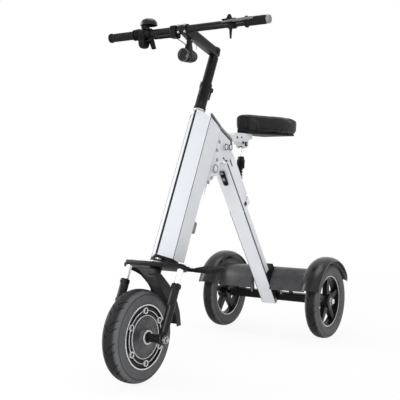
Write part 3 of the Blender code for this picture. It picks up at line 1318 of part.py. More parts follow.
def cushion_rings(low):
    """Rings across the saddle: a crowned top, sides drawn in below the edge roll, a raised nose."""
    rings = []
    stations = 15
    points = 20
    for index in range(stations):
        share = index / (stations - 1)
        spread = 0.5 - 0.5 * math.cos(math.pi * share)
        spread = 0.35 * share + 0.65 * spread
        back = CUSHION_FRONT + CUSHION_LENGTH * spread
        half = cushion_half_width(spread)
        bottom = low + nose_rise(spread)
        end_drop = 0.004 * (max(0.0, 1 - spread / 0.06) + max(0.0, (spread - 0.94) / 0.06))
        top = CUSHION_TOP - end_drop
        middle = (top + bottom) / 2
        rise = (top - bottom) / 2
        ring = []
        for step in range(points):
            angle = 2 * math.pi * (step + 0.5) / points
            across = math.copysign(abs(math.cos(angle)) ** 0.42, math.cos(angle))
            up = math.copysign(abs(math.sin(angle)) ** 0.50, math.sin(angle))
            draw = 1 - 0.05 * max(0.0, -up) - 0.045 * math.cos(math.pi * up / 2) ** 2
            crown = -0.003 * across * across if up > 0.5 else 0.0
            ring.append((half * across * draw, back, middle + rise * up + crown))
        rings.append(ring)
    return rings


# Shock absorber


def build_shock(shock_frame, length):
    """Along the shock's own axis, with the lower eye at zero and the upper eye at length."""
    neck_end = length - SHOCK_NECK_END
    cap_end = neck_end - SHOCK_CAP_HEIGHT
    body_end = length - SHOCK_BODY_END
    tube_end = length - SHOCK_TUBE_END
    rod_top = tube_end + 0.018
    bore = SHOCK_ROD_RADIUS + FIT_GAP
    bore_top = rod_top + SHOCK_ROD_TRAVEL + 0.002
    ring = SHOCK_BODY_RADIUS
    waist = SHOCK_BODY_RADIUS - 0.0025
    profile = [
        (0.0, length - SHOCK_EYE_RADIUS + 0.002),
        (SHOCK_NECK_RADIUS, length - SHOCK_EYE_RADIUS + 0.002),
        (SHOCK_NECK_RADIUS, neck_end),
        (ring * 0.82, neck_end),
        (ring * 0.88, cap_end),
        (ring, cap_end),
        (ring, cap_end - 0.009),
        (waist, cap_end - 0.010),
        (waist, body_end + 0.010),
        (ring, body_end + 0.009),
        (ring, body_end),
        (SHOCK_TUBE_RADIUS, body_end),
        (SHOCK_TUBE_RADIUS, tube_end),
        (bore, tube_end),
        (bore, bore_top),
        (0.0, bore_top),
    ]
    body = add_piece("shock_body", turned(profile, "z", steps=20), shock_frame, "black_paint")
    top = (0.0, 0.0, length)
    join(body, disc(SHOCK_EYE_RADIUS, -SHOCK_EYE_HALF_WIDTH, SHOCK_EYE_HALF_WIDTH, "x", top, 16), "eye")
    pin_reach = SEAT_ARM_HALF_WIDTH + 0.002
    join(body, disc(SHOCK_PIN_RADIUS, -pin_reach, pin_reach, "x", top, 14), "pin")

    perch_top = SHOCK_PERCH_BOTTOM + SHOCK_PERCH_HEIGHT
    rod_profile = [
        (0.0, SHOCK_EYE_RADIUS - 0.002),
        (SHOCK_ROD_RADIUS + 0.002, SHOCK_EYE_RADIUS - 0.002),
        (SHOCK_ROD_RADIUS + 0.002, SHOCK_PERCH_BOTTOM),
        (SPRING_RADIUS + SPRING_WIRE_RADIUS, SHOCK_PERCH_BOTTOM),
        (SPRING_RADIUS + SPRING_WIRE_RADIUS, perch_top),
        (SHOCK_ROD_RADIUS, perch_top),
        (SHOCK_ROD_RADIUS, rod_top),
        (0.0, rod_top),
    ]
    rod = add_piece("shock_rod", turned(rod_profile, "z", steps=16), shock_frame, "chrome")
    join(rod, disc(SHOCK_EYE_RADIUS, -SHOCK_EYE_HALF_WIDTH, SHOCK_EYE_HALF_WIDTH, "x", steps=16), "eye")
    hook_reach = LEG_HALF_WIDTH - 0.0005
    join(rod, disc(SHOCK_PIN_RADIUS, -hook_reach, hook_reach, "x", steps=14), "hook_pin")

    wire_end = 2 * SPRING_WIRE_RADIUS
    low = perch_top + FIT_GAP
    high = body_end - FIT_GAP
    coil_low = low + wire_end
    coil_length = high - wire_end - coil_low
    points = [(SPRING_RADIUS, 0.0, low)]
    total = SPRING_CURLS * SPRING_POINTS
    for index in range(total + 1):
        turn = 2 * math.pi * index / SPRING_POINTS
        up = coil_low + coil_length * index / total
        points.append((SPRING_RADIUS * math.cos(turn), SPRING_RADIUS * math.sin(turn), up))
    points.append((points[-1][0], points[-1][1], high))
    add_cord("shock_spring", points, SPRING_WIRE_RADIUS, 1, shock_frame, "steel")
    print("shock_spring least gap to itself, mm", round(1000 * least_gap(points, SPRING_WIRE_RADIUS, SPRING_POINTS // 2), 2))


# Rear leg


def build_leg(leg_pivot, leg_length):
    """The folding head, the extrusion below it and the latch on its forward face."""
    face = LEG_FACE_BACK
    rear = LEG_FACE_BACK + LEG_HEAD_DEPTH
    outline = arc_points((0.0, 0.0), LEG_PIVOT_BOSS, math.radians(95), math.radians(318), 12)
    outline += [
        (0.028, -0.0045), (0.060, -0.0090), (face - 0.003, LEG_HEAD_TOP - 0.006), (face, LEG_HEAD_TOP - 0.014),
        (face, LEG_HEAD_FOOT), (rear, LEG_HEAD_FOOT), (rear, LEG_HEAD_TOP - 0.012), (rear - 0.012, LEG_HEAD_TOP),
        (face + 0.016, LEG_HEAD_TOP), (face - 0.002, -0.005), (0.060, 0.0110),
    ]
    half = LEG_HALF_WIDTH
    wall = LEG_HEAD_WALL
    head = add_piece("leg_head", outline_prism(outline, -half, half, "x"), leg_pivot, "silver_paint")
    inner_half = half - wall
    floor = LEG_HEAD_FOOT + 0.0035
    channel = block((-inner_half, inner_half), (face + wall, rear + 0.02), (floor, LEG_HEAD_TOP + 0.05))
    cut(head, channel, "channel")
    fork_room = [
        (LEG_PIVOT_BOSS + 0.002, 0.030), (face + wall + 0.01, 0.030), (face + wall + 0.01, LEG_HEAD_TOP - 0.030),
        (face + 0.004, LEG_HEAD_TOP - 0.018), (face - 0.012, -0.040), (LEG_PIVOT_BOSS + 0.002, -0.030),
    ]
    cut(head, outline_prism(fork_room, -inner_half, inner_half, "x"), "arm_gap")
    cut(head, disc(LEG_PIVOT_RADIUS + FIT_GAP, -0.05, 0.05, "x", steps=18), "pivot_bore")

    hook = (SHOCK_HOOK_BACK, SHOCK_HOOK_HEIGHT)
    slot_radius = SHOCK_PIN_RADIUS + HOOK_CLEARANCE
    reach = math.hypot(*hook)
    start = math.atan2(hook[1], hook[0])
    sweep = math.radians(14)
    steps = 5
    lower_side = arc_points((0.0, 0.0), reach + slot_radius, start, start + sweep, steps)
    upper_side = arc_points((0.0, 0.0), reach - slot_radius, start + sweep, start, steps)
    round_end = arc_points(hook, slot_radius, start + math.pi, start + 2 * math.pi, 7)
    cut(head, outline_prism(round_end[1:-1] + lower_side + upper_side, -0.05, 0.05, "x"), "hook_slot")

    spigot_half = half - LEG_WALL - FIT_GAP
    spigot = block(
        (-spigot_half, spigot_half),
        (face + LEG_WALL + FIT_GAP, face + LEG_DEPTH - LEG_WALL - FIT_GAP),
        (LEG_HEAD_FOOT - LEG_SPIGOT, LEG_HEAD_FOOT + 0.002),
    )
    join(head, spigot, "spigot")

    leg_top = LEG_HEAD_FOOT - FIT_GAP
    tube = block((-half, half), (face, face + LEG_DEPTH), (-leg_length, leg_top))
    soften(tube, 0.0035, runs_along("z"), 2)
    leg = add_piece("rear_leg", tube, leg_pivot, "silver_paint")
    hollow = block(
        (-half + LEG_WALL, half - LEG_WALL),
        (face + LEG_WALL, face + LEG_DEPTH - LEG_WALL),
        (-leg_length - 0.01, leg_top + 0.01),
    )
    cut(leg, hollow, "hollow")

    latch_frame = add_frame("leg_lock_pivot", leg_pivot, (0.0, face - LOCK_THICKNESS / 2 - FIT_GAP, LOCK_TOP - 0.006))
    latch_shape = block(
        (-LOCK_HALF_WIDTH, LOCK_HALF_WIDTH),
        (-LOCK_THICKNESS / 2, LOCK_THICKNESS / 2),
        (0.006 - LOCK_LENGTH, 0.001),
    )
    soften(latch_shape, 0.009, runs_along("y"), 3)
    latch = add_piece("leg_lock_lever", latch_shape, latch_frame, "black_plastic")
    join(latch, disc(LOCK_THICKNESS / 2 - 0.0002, -LOCK_HALF_WIDTH - 0.002, LOCK_HALF_WIDTH + 0.002, "x", steps=12), "barrel")


def build_carrier(leg_pivot, axle_frame, leg_length):
    """A block that grips the leg's foot from behind, a cross beam and the stub axles, as one carrier."""
    half = LEG_HALF_WIDTH + CARRIER_SLEEVE_WALL
    face = LEG_FACE_BACK
    sleeve = block(
        (-half, half),
        (face + CARRIER_FRONT_OPENING, face + LEG_DEPTH + CARRIER_BLOCK),
        (-leg_length + 0.024, CARRIER_SLEEVE_TOP),
    )
    soften(sleeve, 0.004, runs_along("z"), 1)
    carrier = add_piece("axle_carrier", sleeve, leg_pivot, "black_paint")

    def join_level(shape, label):
        helper = add_object(f"axle_carrier_{label}", shape, axle_frame)
        helper.hide_render = True
        helper.display_type = "WIRE"
        change = carrier.modifiers.new(label, "BOOLEAN")
        change.operation = "UNION"
        change.solver = "EXACT"
        change.object = helper

    beam = block((-BEAM_HALF_WIDTH, BEAM_HALF_WIDTH), (-BEAM_LEAD, BEAM_TAIL), (-BEAM_DROP, BEAM_RISE))
    soften(beam, 0.003, runs_along("x"), 1)
    join_level(beam, "beam")
    stub = disc(REAR_STUB_RADIUS, -REAR_STUB_HALF_SPAN, REAR_STUB_HALF_SPAN, "x", steps=16)
    join_level(stub, "stub_axles")
    outer = cover_outline()
    under = offset_outline(outer, FIT_GAP * 2)
    for side, label in ((1, "left"), (-1, "right")):
        top_front, top_rear = under[TAB_POINT], under[TAB_POINT + 1]
        foot = BEAM_RISE - 0.004
        tab = [(0.006 - BEAM_LEAD, foot), (0.026 - BEAM_LEAD, foot), top_rear, top_front]
        low, high = sorted((side * COVER_TAB_X, side * (COVER_TAB_X + COVER_TAB_WIDTH)))
        join_level(outline_prism(tab, low, high, "x"), f"tab_{label}")
    passage = block(
        (-LEG_HALF_WIDTH - FIT_GAP, LEG_HALF_WIDTH + FIT_GAP),
        (face - FIT_GAP, face + LEG_DEPTH + FIT_GAP),
        (-leg_length - 0.05, CARRIER_SLEEVE_TOP + 0.05),
    )
    cut(carrier, passage, "leg_passage")


TAB_POINT = 9


def cover_outline():
    """The cover's side view about the rear axle, anticlockwise: outer skin, then inner skin."""
    skin = [(0.012, 0.094), (-0.012, 0.105), (-0.040, 0.111), (-0.066, 0.104), (-0.088, 0.080), (-0.104, 0.040)]
    inner = [(-0.104 + COVER_WALL, 0.0395), (-0.0855, 0.0785), (-0.0645, 0.1012), (-0.0398, 0.1078)]
    inner += [(-0.0130, 0.1019), (0.0107, 0.0910)]
    return skin + inner


def build_rear_covers(axle_frame):
    outline = cover_outline()
    cover_half = FENDER_INNER_X - FIT_GAP
    cover = add_piece("rear_fairing", outline_prism(outline, -cover_half, cover_half, "x"), axle_frame, "black_plastic")
    slot_half = LEG_HALF_WIDTH + CARRIER_SLEEVE_WALL + COVER_SLOT_MARGIN
    slot = block((-slot_half, slot_half), (-0.2, -0.046), (0.0, 0.2))
    cut(cover, slot, "leg_slot")

    stations = 14
    for side, label in ((1, "left"), (-1, "right")):
        middle = side * (FENDER_INNER_X + FENDER_WIDTH / 2)
        rings = []
        for index in range(stations):
            angle = FENDER_REAR_ANGLE + (FENDER_FRONT_ANGLE - FENDER_REAR_ANGLE) * index / (stations - 1)
            past_tail = min(1.0, (angle - FENDER_REAR_ANGLE) / FENDER_TAIL_SPAN)
            share = FENDER_TAIL_SHARE + (1 - FENDER_TAIL_SHARE) * past_tail
            ring = []
            for across, inward in fender_section(FENDER_WIDTH / 2 * share):
                reach = FENDER_RADIUS + inward
                ring.append((middle + across, reach * math.cos(angle), reach * math.sin(angle)))
            rings.append(ring)
        add_piece(f"fender_{label}", loft(rings), axle_frame, "black_plastic")


def fender_section(half_width):
    """Across and inward of a fender's crowned section, walls included."""
    shoulder = half_width * 0.61
    wall = FENDER_WALL
    outer = [(-half_width, -FENDER_DEPTH), (-half_width + 0.001, -0.010), (-shoulder, -0.003), (0.0, 0.0)]
    outer += [(shoulder, -0.003), (half_width - 0.001, -0.010), (half_width, -FENDER_DEPTH)]
    inner = [(half_width - wall, -FENDER_DEPTH), (half_width - wall - 0.001, -0.0114), (shoulder - 0.001, -0.0054)]
    inner += [(0.0, -wall), (0.001 - shoulder, -0.0054), (0.001 + wall - half_width, -0.0114)]
    inner += [(wall - half_width, -FENDER_DEPTH)]
    return outer + inner


# Foot pegs


def build_pegs(peg_frame, base):
    root_low = -PEG_ROOT_THICKNESS / 2
    root_high = PEG_ROOT_THICKNESS / 2
    depth = PEG_BRACKET_HALF_DEPTH
    height = PEG_BRACKET_HALF_HEIGHT
    bracket = block((-PEG_PIVOT_X - 0.005, PEG_PIVOT_X + 0.005), (-depth, depth), (-height, height))
    helper = add_object("base_casting_peg_bracket", bracket, peg_frame)
    helper.hide_render = True
    helper.display_type = "WIRE"
    change = base.modifiers.new("peg_bracket", "BOOLEAN")
    change.operation = "UNION"
    change.object = helper
    change.solver = "EXACT"
    for side, label in ((1, "left"), (-1, "right")):
        knuckle_half = PEG_ROOT_HALF_DEPTH
        reach_low, reach_high = sorted((side * (PEG_PIVOT_X - 0.012), side * (PEG_PIVOT_X + 0.02)))
        room = block((reach_low, reach_high), (-knuckle_half - FIT_GAP, knuckle_half + FIT_GAP), (-0.02, 0.02))
        pin_room = disc(PEG_PIN_RADIUS + FIT_GAP, -0.03, 0.03, "y", (side * PEG_PIVOT_X, 0.0, 0.0), 12)
        for shape, kind in ((room, "knuckle_room"), (pin_room, "pin_room")):
            cutter = add_object(f"base_casting_{kind}_{label}", shape, peg_frame)
            cutter.hide_render = True
            cutter.display_type = "WIRE"
            change = base.modifiers.new(f"{kind}_{label}", "BOOLEAN")
            change.operation = "DIFFERENCE"
            change.solver = "EXACT"
            change.object = cutter

        hinge = add_frame(f"peg_pivot_{label}", peg_frame, (side * PEG_PIVOT_X, 0.0, 0.0))
        root_end = PEG_PAD_START_X - PEG_PIVOT_X + 0.010
        root_low_x, root_high_x = sorted((0.0, side * root_end))
        root = block((root_low_x, root_high_x), (-knuckle_half, knuckle_half), (root_low, root_high))
        peg = add_piece(f"peg_{label}", root, hinge, "black_rubber")
        join(peg, disc(PEG_ROOT_THICKNESS / 2 + 0.001, -knuckle_half, knuckle_half, "y", steps=14), "knuckle")
        join(peg, disc(PEG_PIN_RADIUS, -depth, depth, "y", steps=12), "pin")
        pad_low_x, pad_high_x = sorted((side * (PEG_PAD_START_X - PEG_PIVOT_X), side * (PEG_PAD_END_X - PEG_PIVOT_X)))
        pad_front = PEG_PAD_OFFSET - PEG_PAD_DEPTH / 2
        pad_top = root_high + PEG_PAD_RISE
        pad = block((pad_low_x, pad_high_x), (pad_front, pad_front + PEG_PAD_DEPTH), (pad_top - PEG_PAD_THICKNESS, pad_top))
        soften(pad, 0.012, runs_along("z"), 2)
        join(peg, pad, "pad")


# Assembly


def main():
    clear_scene()
    steering = add_frame("steering_axis", None, (0.0, FRONT_AXLE_Y, FRONT_RADIUS), -STEERING_RAKE)
    build_front_wheel(steering)
    build_fork(steering)
    build_front_mudguard(steering)
    build_case(steering)
    build_bracket(steering)
    build_column(steering)

    hinge_back, hinge_up = up_the_rake(0.0, STEM_HINGE_HEIGHT)
    stem_hinge = add_frame("stem_hinge", None, (0.0, FRONT_AXLE_Y + hinge_back, FRONT_RADIUS + hinge_up))
    bar_place = (0.0, -STEM_REACH * math.cos(STEM_RISE), STEM_REACH * math.sin(STEM_RISE))
    bar_frame = add_frame("handlebar_centre", stem_hinge, bar_place)
    build_stem(stem_hinge, bar_frame)
    build_controls(bar_frame)
    build_headlight(bar_frame)

    pivot_back, pivot_up = up_the_rake(LEG_PIVOT_BACK, LEG_PIVOT_HEIGHT)
    pivot = Vector((FRONT_AXLE_Y + pivot_back, FRONT_RADIUS + pivot_up))
    to_axle = Vector((REAR_AXLE_Y, REAR_RADIUS)) - pivot
    leg_length = math.sqrt(to_axle.length ** 2 - REAR_AXLE_BACK_OF_PIVOT ** 2)
    leg_tilt = math.atan2(to_axle.x, -to_axle.y) - math.asin(REAR_AXLE_BACK_OF_PIVOT / to_axle.length)
    leg_pivot = add_frame("leg_fold_pivot", None, (0.0, pivot.x, pivot.y), leg_tilt)
    axle_frame = add_frame("rear_axle_centre", None, (0.0, REAR_AXLE_Y, REAR_RADIUS))
    build_leg(leg_pivot, leg_length)
    build_carrier(leg_pivot, axle_frame, leg_length)
    build_rear_covers(axle_frame)
    build_rear_wheel(1, "left", axle_frame)
    build_rear_wheel(-1, "right", axle_frame)

    seat_back, seat_up = up_the_rake(SEAT_PIVOT_BACK, SEAT_PIVOT_HEIGHT)
    seat_pivot = add_frame("seat_arm_pivot", None, (0.0, FRONT_AXLE_Y + seat_back, FRONT_RADIUS + seat_up))
    build_seat(seat_pivot)

    cosine = math.cos(leg_tilt)
    sine = math.sin(leg_tilt)
    hook = pivot + Vector((
        SHOCK_HOOK_BACK * cosine - SHOCK_HOOK_HEIGHT * sine,
        SHOCK_HOOK_BACK * sine + SHOCK_HOOK_HEIGHT * cosine,
    ))
    top = Vector((FRONT_AXLE_Y + seat_back + SHOCK_TOP_BACK, FRONT_RADIUS + seat_up + SHOCK_TOP_RISE))
    run = top - hook
    shock_frame = add_frame("shock_lower_eye", None, (0.0, hook.x, hook.y), -math.atan2(run.x, run.y))
    build_shock(shock_frame, run.length)

    peg_frame = add_frame("peg_centre", None, (0.0, FRONT_AXLE_Y + PEG_BACK, PEG_HEIGHT))
    build_pegs(peg_frame, bpy.data.objects["base_casting"])
    print("leg tilt, degrees", round(math.degrees(leg_tilt), 2), "leg length", round(leg_length, 4))
    print("shock length, m", round(run.length, 4))


main()
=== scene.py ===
import math

import bpy
from mathutils import Matrix, Vector
from mathutils.bvhtree import BVHTree


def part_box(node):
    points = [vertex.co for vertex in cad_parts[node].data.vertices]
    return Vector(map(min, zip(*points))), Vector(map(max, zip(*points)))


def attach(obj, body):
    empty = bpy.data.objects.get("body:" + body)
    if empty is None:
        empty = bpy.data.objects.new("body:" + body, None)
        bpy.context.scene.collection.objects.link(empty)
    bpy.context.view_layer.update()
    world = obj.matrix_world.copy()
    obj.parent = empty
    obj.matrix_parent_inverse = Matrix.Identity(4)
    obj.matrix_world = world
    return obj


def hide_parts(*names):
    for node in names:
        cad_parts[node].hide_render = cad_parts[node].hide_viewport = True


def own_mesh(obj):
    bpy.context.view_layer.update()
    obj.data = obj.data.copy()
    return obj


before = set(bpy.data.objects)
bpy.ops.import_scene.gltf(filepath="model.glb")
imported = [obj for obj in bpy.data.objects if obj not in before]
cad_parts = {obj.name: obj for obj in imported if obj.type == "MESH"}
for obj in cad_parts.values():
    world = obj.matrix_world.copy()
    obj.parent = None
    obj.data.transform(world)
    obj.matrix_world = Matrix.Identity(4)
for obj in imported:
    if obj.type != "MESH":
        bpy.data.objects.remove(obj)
bpy.ops.object.select_all(action="DESELECT")
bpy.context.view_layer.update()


# Studio: a wide pale floor, a white surround and four soft lamps. The camera stands where the photograph
# was taken: 33 degrees round from dead ahead towards the rider's left, at about half the scooter's
# height, with a long lens.
FRONT_AXLE_Y = -0.403498
CAMERA_PLACE = (1.2432, FRONT_AXLE_Y - 1.6077, 0.5698)
CAMERA_PITCH, CAMERA_TURN = math.radians(87.88), math.radians(32.94)
LENS_MM, SENSOR_MM = 67.86, 36.0
WHITE = (1.0, 1.0, 1.0, 1.0)
FLOOR_PALE = (0.86, 0.86, 0.86, 1.0)
WORLD_LIGHT = 0.62
FLOOR_SIZE, FLOOR_DROP = 60.0, 0.0006

camera_data = bpy.data.cameras.new("camera")
camera_data.lens, camera_data.sensor_width = LENS_MM, SENSOR_MM
camera = bpy.data.objects.new("camera", camera_data)
camera.location = CAMERA_PLACE
camera.rotation_euler = (CAMERA_PITCH, 0.0, CAMERA_TURN)
bpy.context.scene.collection.objects.link(camera)
bpy.context.scene.camera = camera
bpy.context.scene.view_settings.view_transform = "Standard"


def nodes_of(owner):
    """The shader nodes of a material or a world."""
    owner.use_nodes = True
    return owner.node_tree.nodes


def set_inputs(node, values):
    for name, value in values.items():
        node.inputs[name].default_value = value


def add_node(nodes, kind, values=None, **settings):
    """A new shader node, with its settings and then the values of its inputs."""
    node = nodes.new(f"ShaderNode{kind}")
    for name, value in settings.items():
        setattr(node, name, value)
    set_inputs(node, values or {})
    return node


def wire(source, output, target, socket):
    """Links an output of one node to an input of another in the same tree."""
    target.id_data.links.new(source.outputs[output], target.inputs[socket])


def seen_straight(nodes):
    """1 for rays that show the surround itself: from the camera, off gloss and through glass."""
    path = add_node(nodes, "LightPath")
    first = add_node(nodes, "Math", operation="MAXIMUM")
    second = add_node(nodes, "Math", operation="MAXIMUM")
    wire(path, "Is Camera Ray", first, 0)
    wire(path, "Is Glossy Ray", first, 1)
    wire(first, 0, second, 0)
    wire(path, "Is Transmission Ray", second, 1)
    return second


def mix_shaders(nodes, share, lit, seen, output):
    """Mixes the shader that lights the scene with the one that is seen, by the share of the second."""
    choice = add_node(nodes, "MixShader")
    for socket, source in enumerate((share, lit, seen)):
        wire(source, 0, choice, socket)
    wire(choice, 0, nodes[output], "Surface")


world = bpy.data.worlds.new("surround")
bpy.context.scene.world = world
nodes = nodes_of(world)
plain = nodes["Background"]
set_inputs(plain, {"Color": WHITE, "Strength": WORLD_LIGHT})
white = add_node(nodes, "Background", {"Color": WHITE, "Strength": 1.0})
mix_shaders(nodes, seen_straight(nodes), plain, white, "World Output")

bpy.ops.mesh.primitive_plane_add(size=FLOOR_SIZE, location=(0.0, 0.0, -FLOOR_DROP))
floor = bpy.context.active_object
floor.name = "floor"
floor_paint = bpy.data.materials.new("floor_white")
nodes = nodes_of(floor_paint)
matt = nodes["Principled BSDF"]
set_inputs(matt, {"Base Color": FLOOR_PALE, "Roughness": 0.9, "Specular IOR Level": 0.1})
glow = add_node(nodes, "Emission", {"Strength": 1.0})
spot = add_node(nodes, "TexCoord")
reach = add_node(nodes, "VectorMath", operation="LENGTH")
far = add_node(nodes, "MapRange", {"From Min": 0.8, "From Max": 2.6, "To Min": 0.90, "To Max": 1.0})
fade = add_node(nodes, "Math", operation="MULTIPLY")
wire(spot, "Object", reach, 0)
wire(reach, "Value", far, "Value")
wire(seen_straight(nodes), 0, fade, 0)
wire(far, "Result", fade, 1)
mix_shaders(nodes, fade, matt, glow, "Material Output")
floor.data.materials.append(floor_paint)


def soft_lamp(name, place, aim, size, watts, colour=(1.0, 1.0, 1.0)):
    """A square soft box that looks at a point."""
    data = bpy.data.lights.new(name, "AREA")
    data.size = size
    data.energy = watts
    data.color = colour
    lamp = bpy.data.objects.new(name, data)
    lamp.location = place
    lamp.rotation_euler = (Vector(aim) - Vector(place)).to_track_quat("-Z", "Y").to_euler()
    bpy.context.scene.collection.objects.link(lamp)


soft_lamp("lamp_left_front", (0.2, -2.6, 0.45), (0.0, 0.0, 0.25), 1.3, 44, (0.93, 0.96, 1.0))
soft_lamp("lamp_right_side", (3.2, 0.4, 1.1), (0.0, 0.0, 0.4), 1.5, 12)
soft_lamp("lamp_far_side", (-3.0, -0.8, 1.8), (0.0, 0.0, 0.4), 1.6, 42)
soft_lamp("lamp_overhead", (0.2, 0.3, 3.2), (0.0, 0.0, 0.4), 1.8, 30)


# Front tyre: black tubeless rubber on a ten inch hub, pressed onto the rim's two beads. The tread is
# moulded in one pitch, with a long and a shorter curved slot on each side that lean into a V, and the
# pitch repeats round the wheel.
WHEEL_RADIUS = 0.127
FRONT_WHEEL_FRAME = Matrix.Translation((0.0, FRONT_AXLE_Y, WHEEL_RADIUS))


def pick_up(piece):
    """Makes one object the only selected and the active one."""
    bpy.ops.object.select_all(action="DESELECT")
    piece.select_set(True)
    bpy.context.view_layer.objects.active = piece


def edit_all():
    """Opens the active object in edit mode with all of it selected."""
    bpy.ops.object.mode_set(mode="EDIT")
    bpy.ops.mesh.select_all(action="SELECT")


def close_up(piece, distance=0.000005):
    """Merges what meets and turns all faces outwards."""
    pick_up(piece)
    edit_all()
    bpy.ops.mesh.remove_doubles(threshold=distance)
    bpy.ops.mesh.normals_make_consistent(inside=False)
    bpy.ops.object.mode_set(mode="OBJECT")
    return piece


def finish_piece(piece, body, material, stands_for=(), place=None, crease=35.0):
    """Sets a finished piece in its place, with its material, on the body that carries it."""
    if place is not None:
        piece.data.transform(place)
    piece.data.materials.clear()
    piece.data.materials.append(material)
    pick_up(piece)
    bpy.ops.object.shade_smooth_by_angle(angle=math.radians(crease))
    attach(piece, body)
    if stands_for:
        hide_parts(*stands_for)
    return piece


def new_group(name, inputs, outputs):
    """A node group with its sockets: a colour where no value is given, and otherwise a number."""
    group = bpy.data.node_groups.new(name, "ShaderNodeTree")
    for in_out, sockets in (("INPUT", inputs), ("OUTPUT", outputs)):
        for label, value in sockets.items():
            kind = "NodeSocketColor" if value is None else "NodeSocketFloat"
            socket = group.interface.new_socket(name=label, in_out=in_out, socket_type=kind)
            if value is not None:
                socket.default_value = value
    nodes = group.nodes
    return group, nodes, nodes.new("NodeGroupInput"), nodes.new("NodeGroupOutput")


def mottle_group():
    """Slow noise that varies a colour and a roughness a little over the surface."""
    group, nodes, start, end = new_group(
        "mottle", {"Colour": None, "Shade": None, "Scale": 40.0, "Roughness": 0.5, "Spread": 0.08},
        {"Colour": None, "Roughness": 0.0})
    place = add_node(nodes, "TexCoord")
    slow = add_node(nodes, "TexNoise", {"Detail": 5.0, "Roughness": 0.62})
    ramp = add_node(nodes, "MapRange", {"From Min": 0.36, "From Max": 0.66})
    blend = add_node(nodes, "Mix", data_type="RGBA")
    wide = add_node(nodes, "Math", operation="MULTIPLY_ADD")
    wire(place, "Object", slow, "Vector")
    wire(start, "Scale", slow, "Scale")
    wire(slow, "Fac", ramp, "Value")
    wire(ramp, "Result", blend, "Factor")
    wire(start, "Colour", blend, "A")
    wire(start, "Shade", blend, "B")
    wire(ramp, "Result", wide, 0)
    wire(start, "Spread", wide, 1)
    wire(start, "Roughness", wide, 2)
    wire(blend, "Result", end, "Colour")
    wire(wide, 0, end, "Roughness")
    return group


def grain_group():
    """A height for moulded, sand cast and painted surfaces: pebbles on top of a fine noise."""
    group, nodes, start, end = new_group("grain", {"Scale": 900.0, "Pebbles": 0.5}, {"Height": 0.0})
    place = add_node(nodes, "TexCoord")
    fine = add_node(nodes, "TexNoise", {"Detail": 3.0})
    cells = add_node(nodes, "TexVoronoi", feature="SMOOTH_F1")
    blend = add_node(nodes, "Mix", data_type="FLOAT")
    for texture in (fine, cells):
        wire(place, "Object", texture, "Vector")
        wire(start, "Scale", texture, "Scale")
    wire(start, "Pebbles", blend, "Factor")
    wire(fine, "Fac", blend, "A")
    wire(cells, "Distance", blend, "B")
    wire(blend, "Result", end, "Height")
    return group


MOTTLE = mottle_group()
GRAIN = grain_group()
GRAIN_HEIGHT = 0.0004


def surface(name, colour, shade, roughness, spread=0.12, metallic=0.0, scale=40.0, grain=900.0, pebbles=0.4,
            relief=0.12, coat=0.0, coat_roughness=0.1, specular=0.5):
    """A finish with its own colour drift, uneven gloss and fine relief, in object coordinates."""
    material = bpy.data.materials.new(name)
    nodes = nodes_of(material)
    shader = nodes["Principled BSDF"]
    set_inputs(shader, {"Metallic": metallic, "Coat Weight": coat, "Coat Roughness": coat_roughness,
                        "Specular IOR Level": specular})
    drift = add_node(nodes, "Group", {"Colour": (*colour, 1.0), "Shade": (*shade, 1.0), "Scale": scale,
                                      "Roughness": roughness, "Spread": spread}, node_tree=MOTTLE)
    height = add_node(nodes, "Group", {"Scale": grain, "Pebbles": pebbles}, node_tree=GRAIN)
    bump = add_node(nodes, "Bump", {"Strength": relief, "Distance": GRAIN_HEIGHT})
    wire(drift, "Colour", shader, "Base Color")
    wire(drift, "Roughness", shader, "Roughness")
    wire(height, "Height", bump, "Height")
    wire(bump, "Normal", shader, "Normal")
    return material


def cool_tone(name, tone, worn, roughness, spread=0.12, **finish):
    """A black or grey finish with two tones, both a little blue."""
    return surface(name, (tone, tone, 1.05 * tone), (worn, worn, 1.04 * worn), roughness, spread, **finish)


TYRE_RUBBER = cool_tone("tyre_rubber", 0.084, 0.104, 0.56, 0.08, grain=2200, relief=0.10, specular=0.22)
# Painted shade: the tread's crown is painted near black for the dark band that the light leaves on it, and a
# point attribute fades it out towards the walls. The walls' rubber grey is partly painted light too: it is
# kept light for their broad highlights.
CROWN_PAINTED_SHADE = (0.0042, 0.0042, 0.0044, 1.0)
# Painted shade: the slot floors are painted darker still for the shade in them, and the faces of the step
# where the tread ends are painted most of the way to that for the line of shade along it.
SLOT_PAINTED_SHADE = (0.0012, 0.0012, 0.0013, 1.0)
nodes = nodes_of(TYRE_RUBBER)
slot_mask = add_node(nodes, "Attribute", attribute_name="slot_shade")
slot_mix = add_node(nodes, "Mix", {"B": SLOT_PAINTED_SHADE}, data_type="RGBA")
crown_shade_mask = add_node(nodes, "Attribute", attribute_name="painted_crown_shade_fade")
crown_shade_mix = add_node(nodes, "Mix", {"A": CROWN_PAINTED_SHADE}, data_type="RGBA")
wire(crown_shade_mask, "Fac", crown_shade_mix, "Factor")
wire(nodes["Group"], "Colour", crown_shade_mix, "B")
wire(slot_mask, "Fac", slot_mix, "Factor")
wire(crown_shade_mix, "Result", slot_mix, "A")
wire(slot_mix, "Result", nodes["Principled BSDF"], "Base Color")

TREAD_ANGLE = 66.0
TREAD_PITCHES = 13
PITCH_ROWS = 20
LONG_SLOT_ROWS = {True: 10, False: 5}
SHORT_SLOT_ROWS = {True: 3, False: 18}
SLOT_START, SLOT_END, SLOT_DEPTH = 1.4, 8.4, 0.0026
SLOT_LEAN = 0.40
STEP_COLUMNS, STEP_SHADE = (12.0, 13.0), 0.8
WALL_FULLNESS, WALL_HEIGHT = 0.8, 0.80
# Where the crown's painted shade fades out, as shares of the half width.
CROWN_SHADE_FADE_START, CROWN_SHADE_FADE_OVER = 0.42, 0.36
TREAD_STEP, RIM_RIB = 0.0010, 0.0009


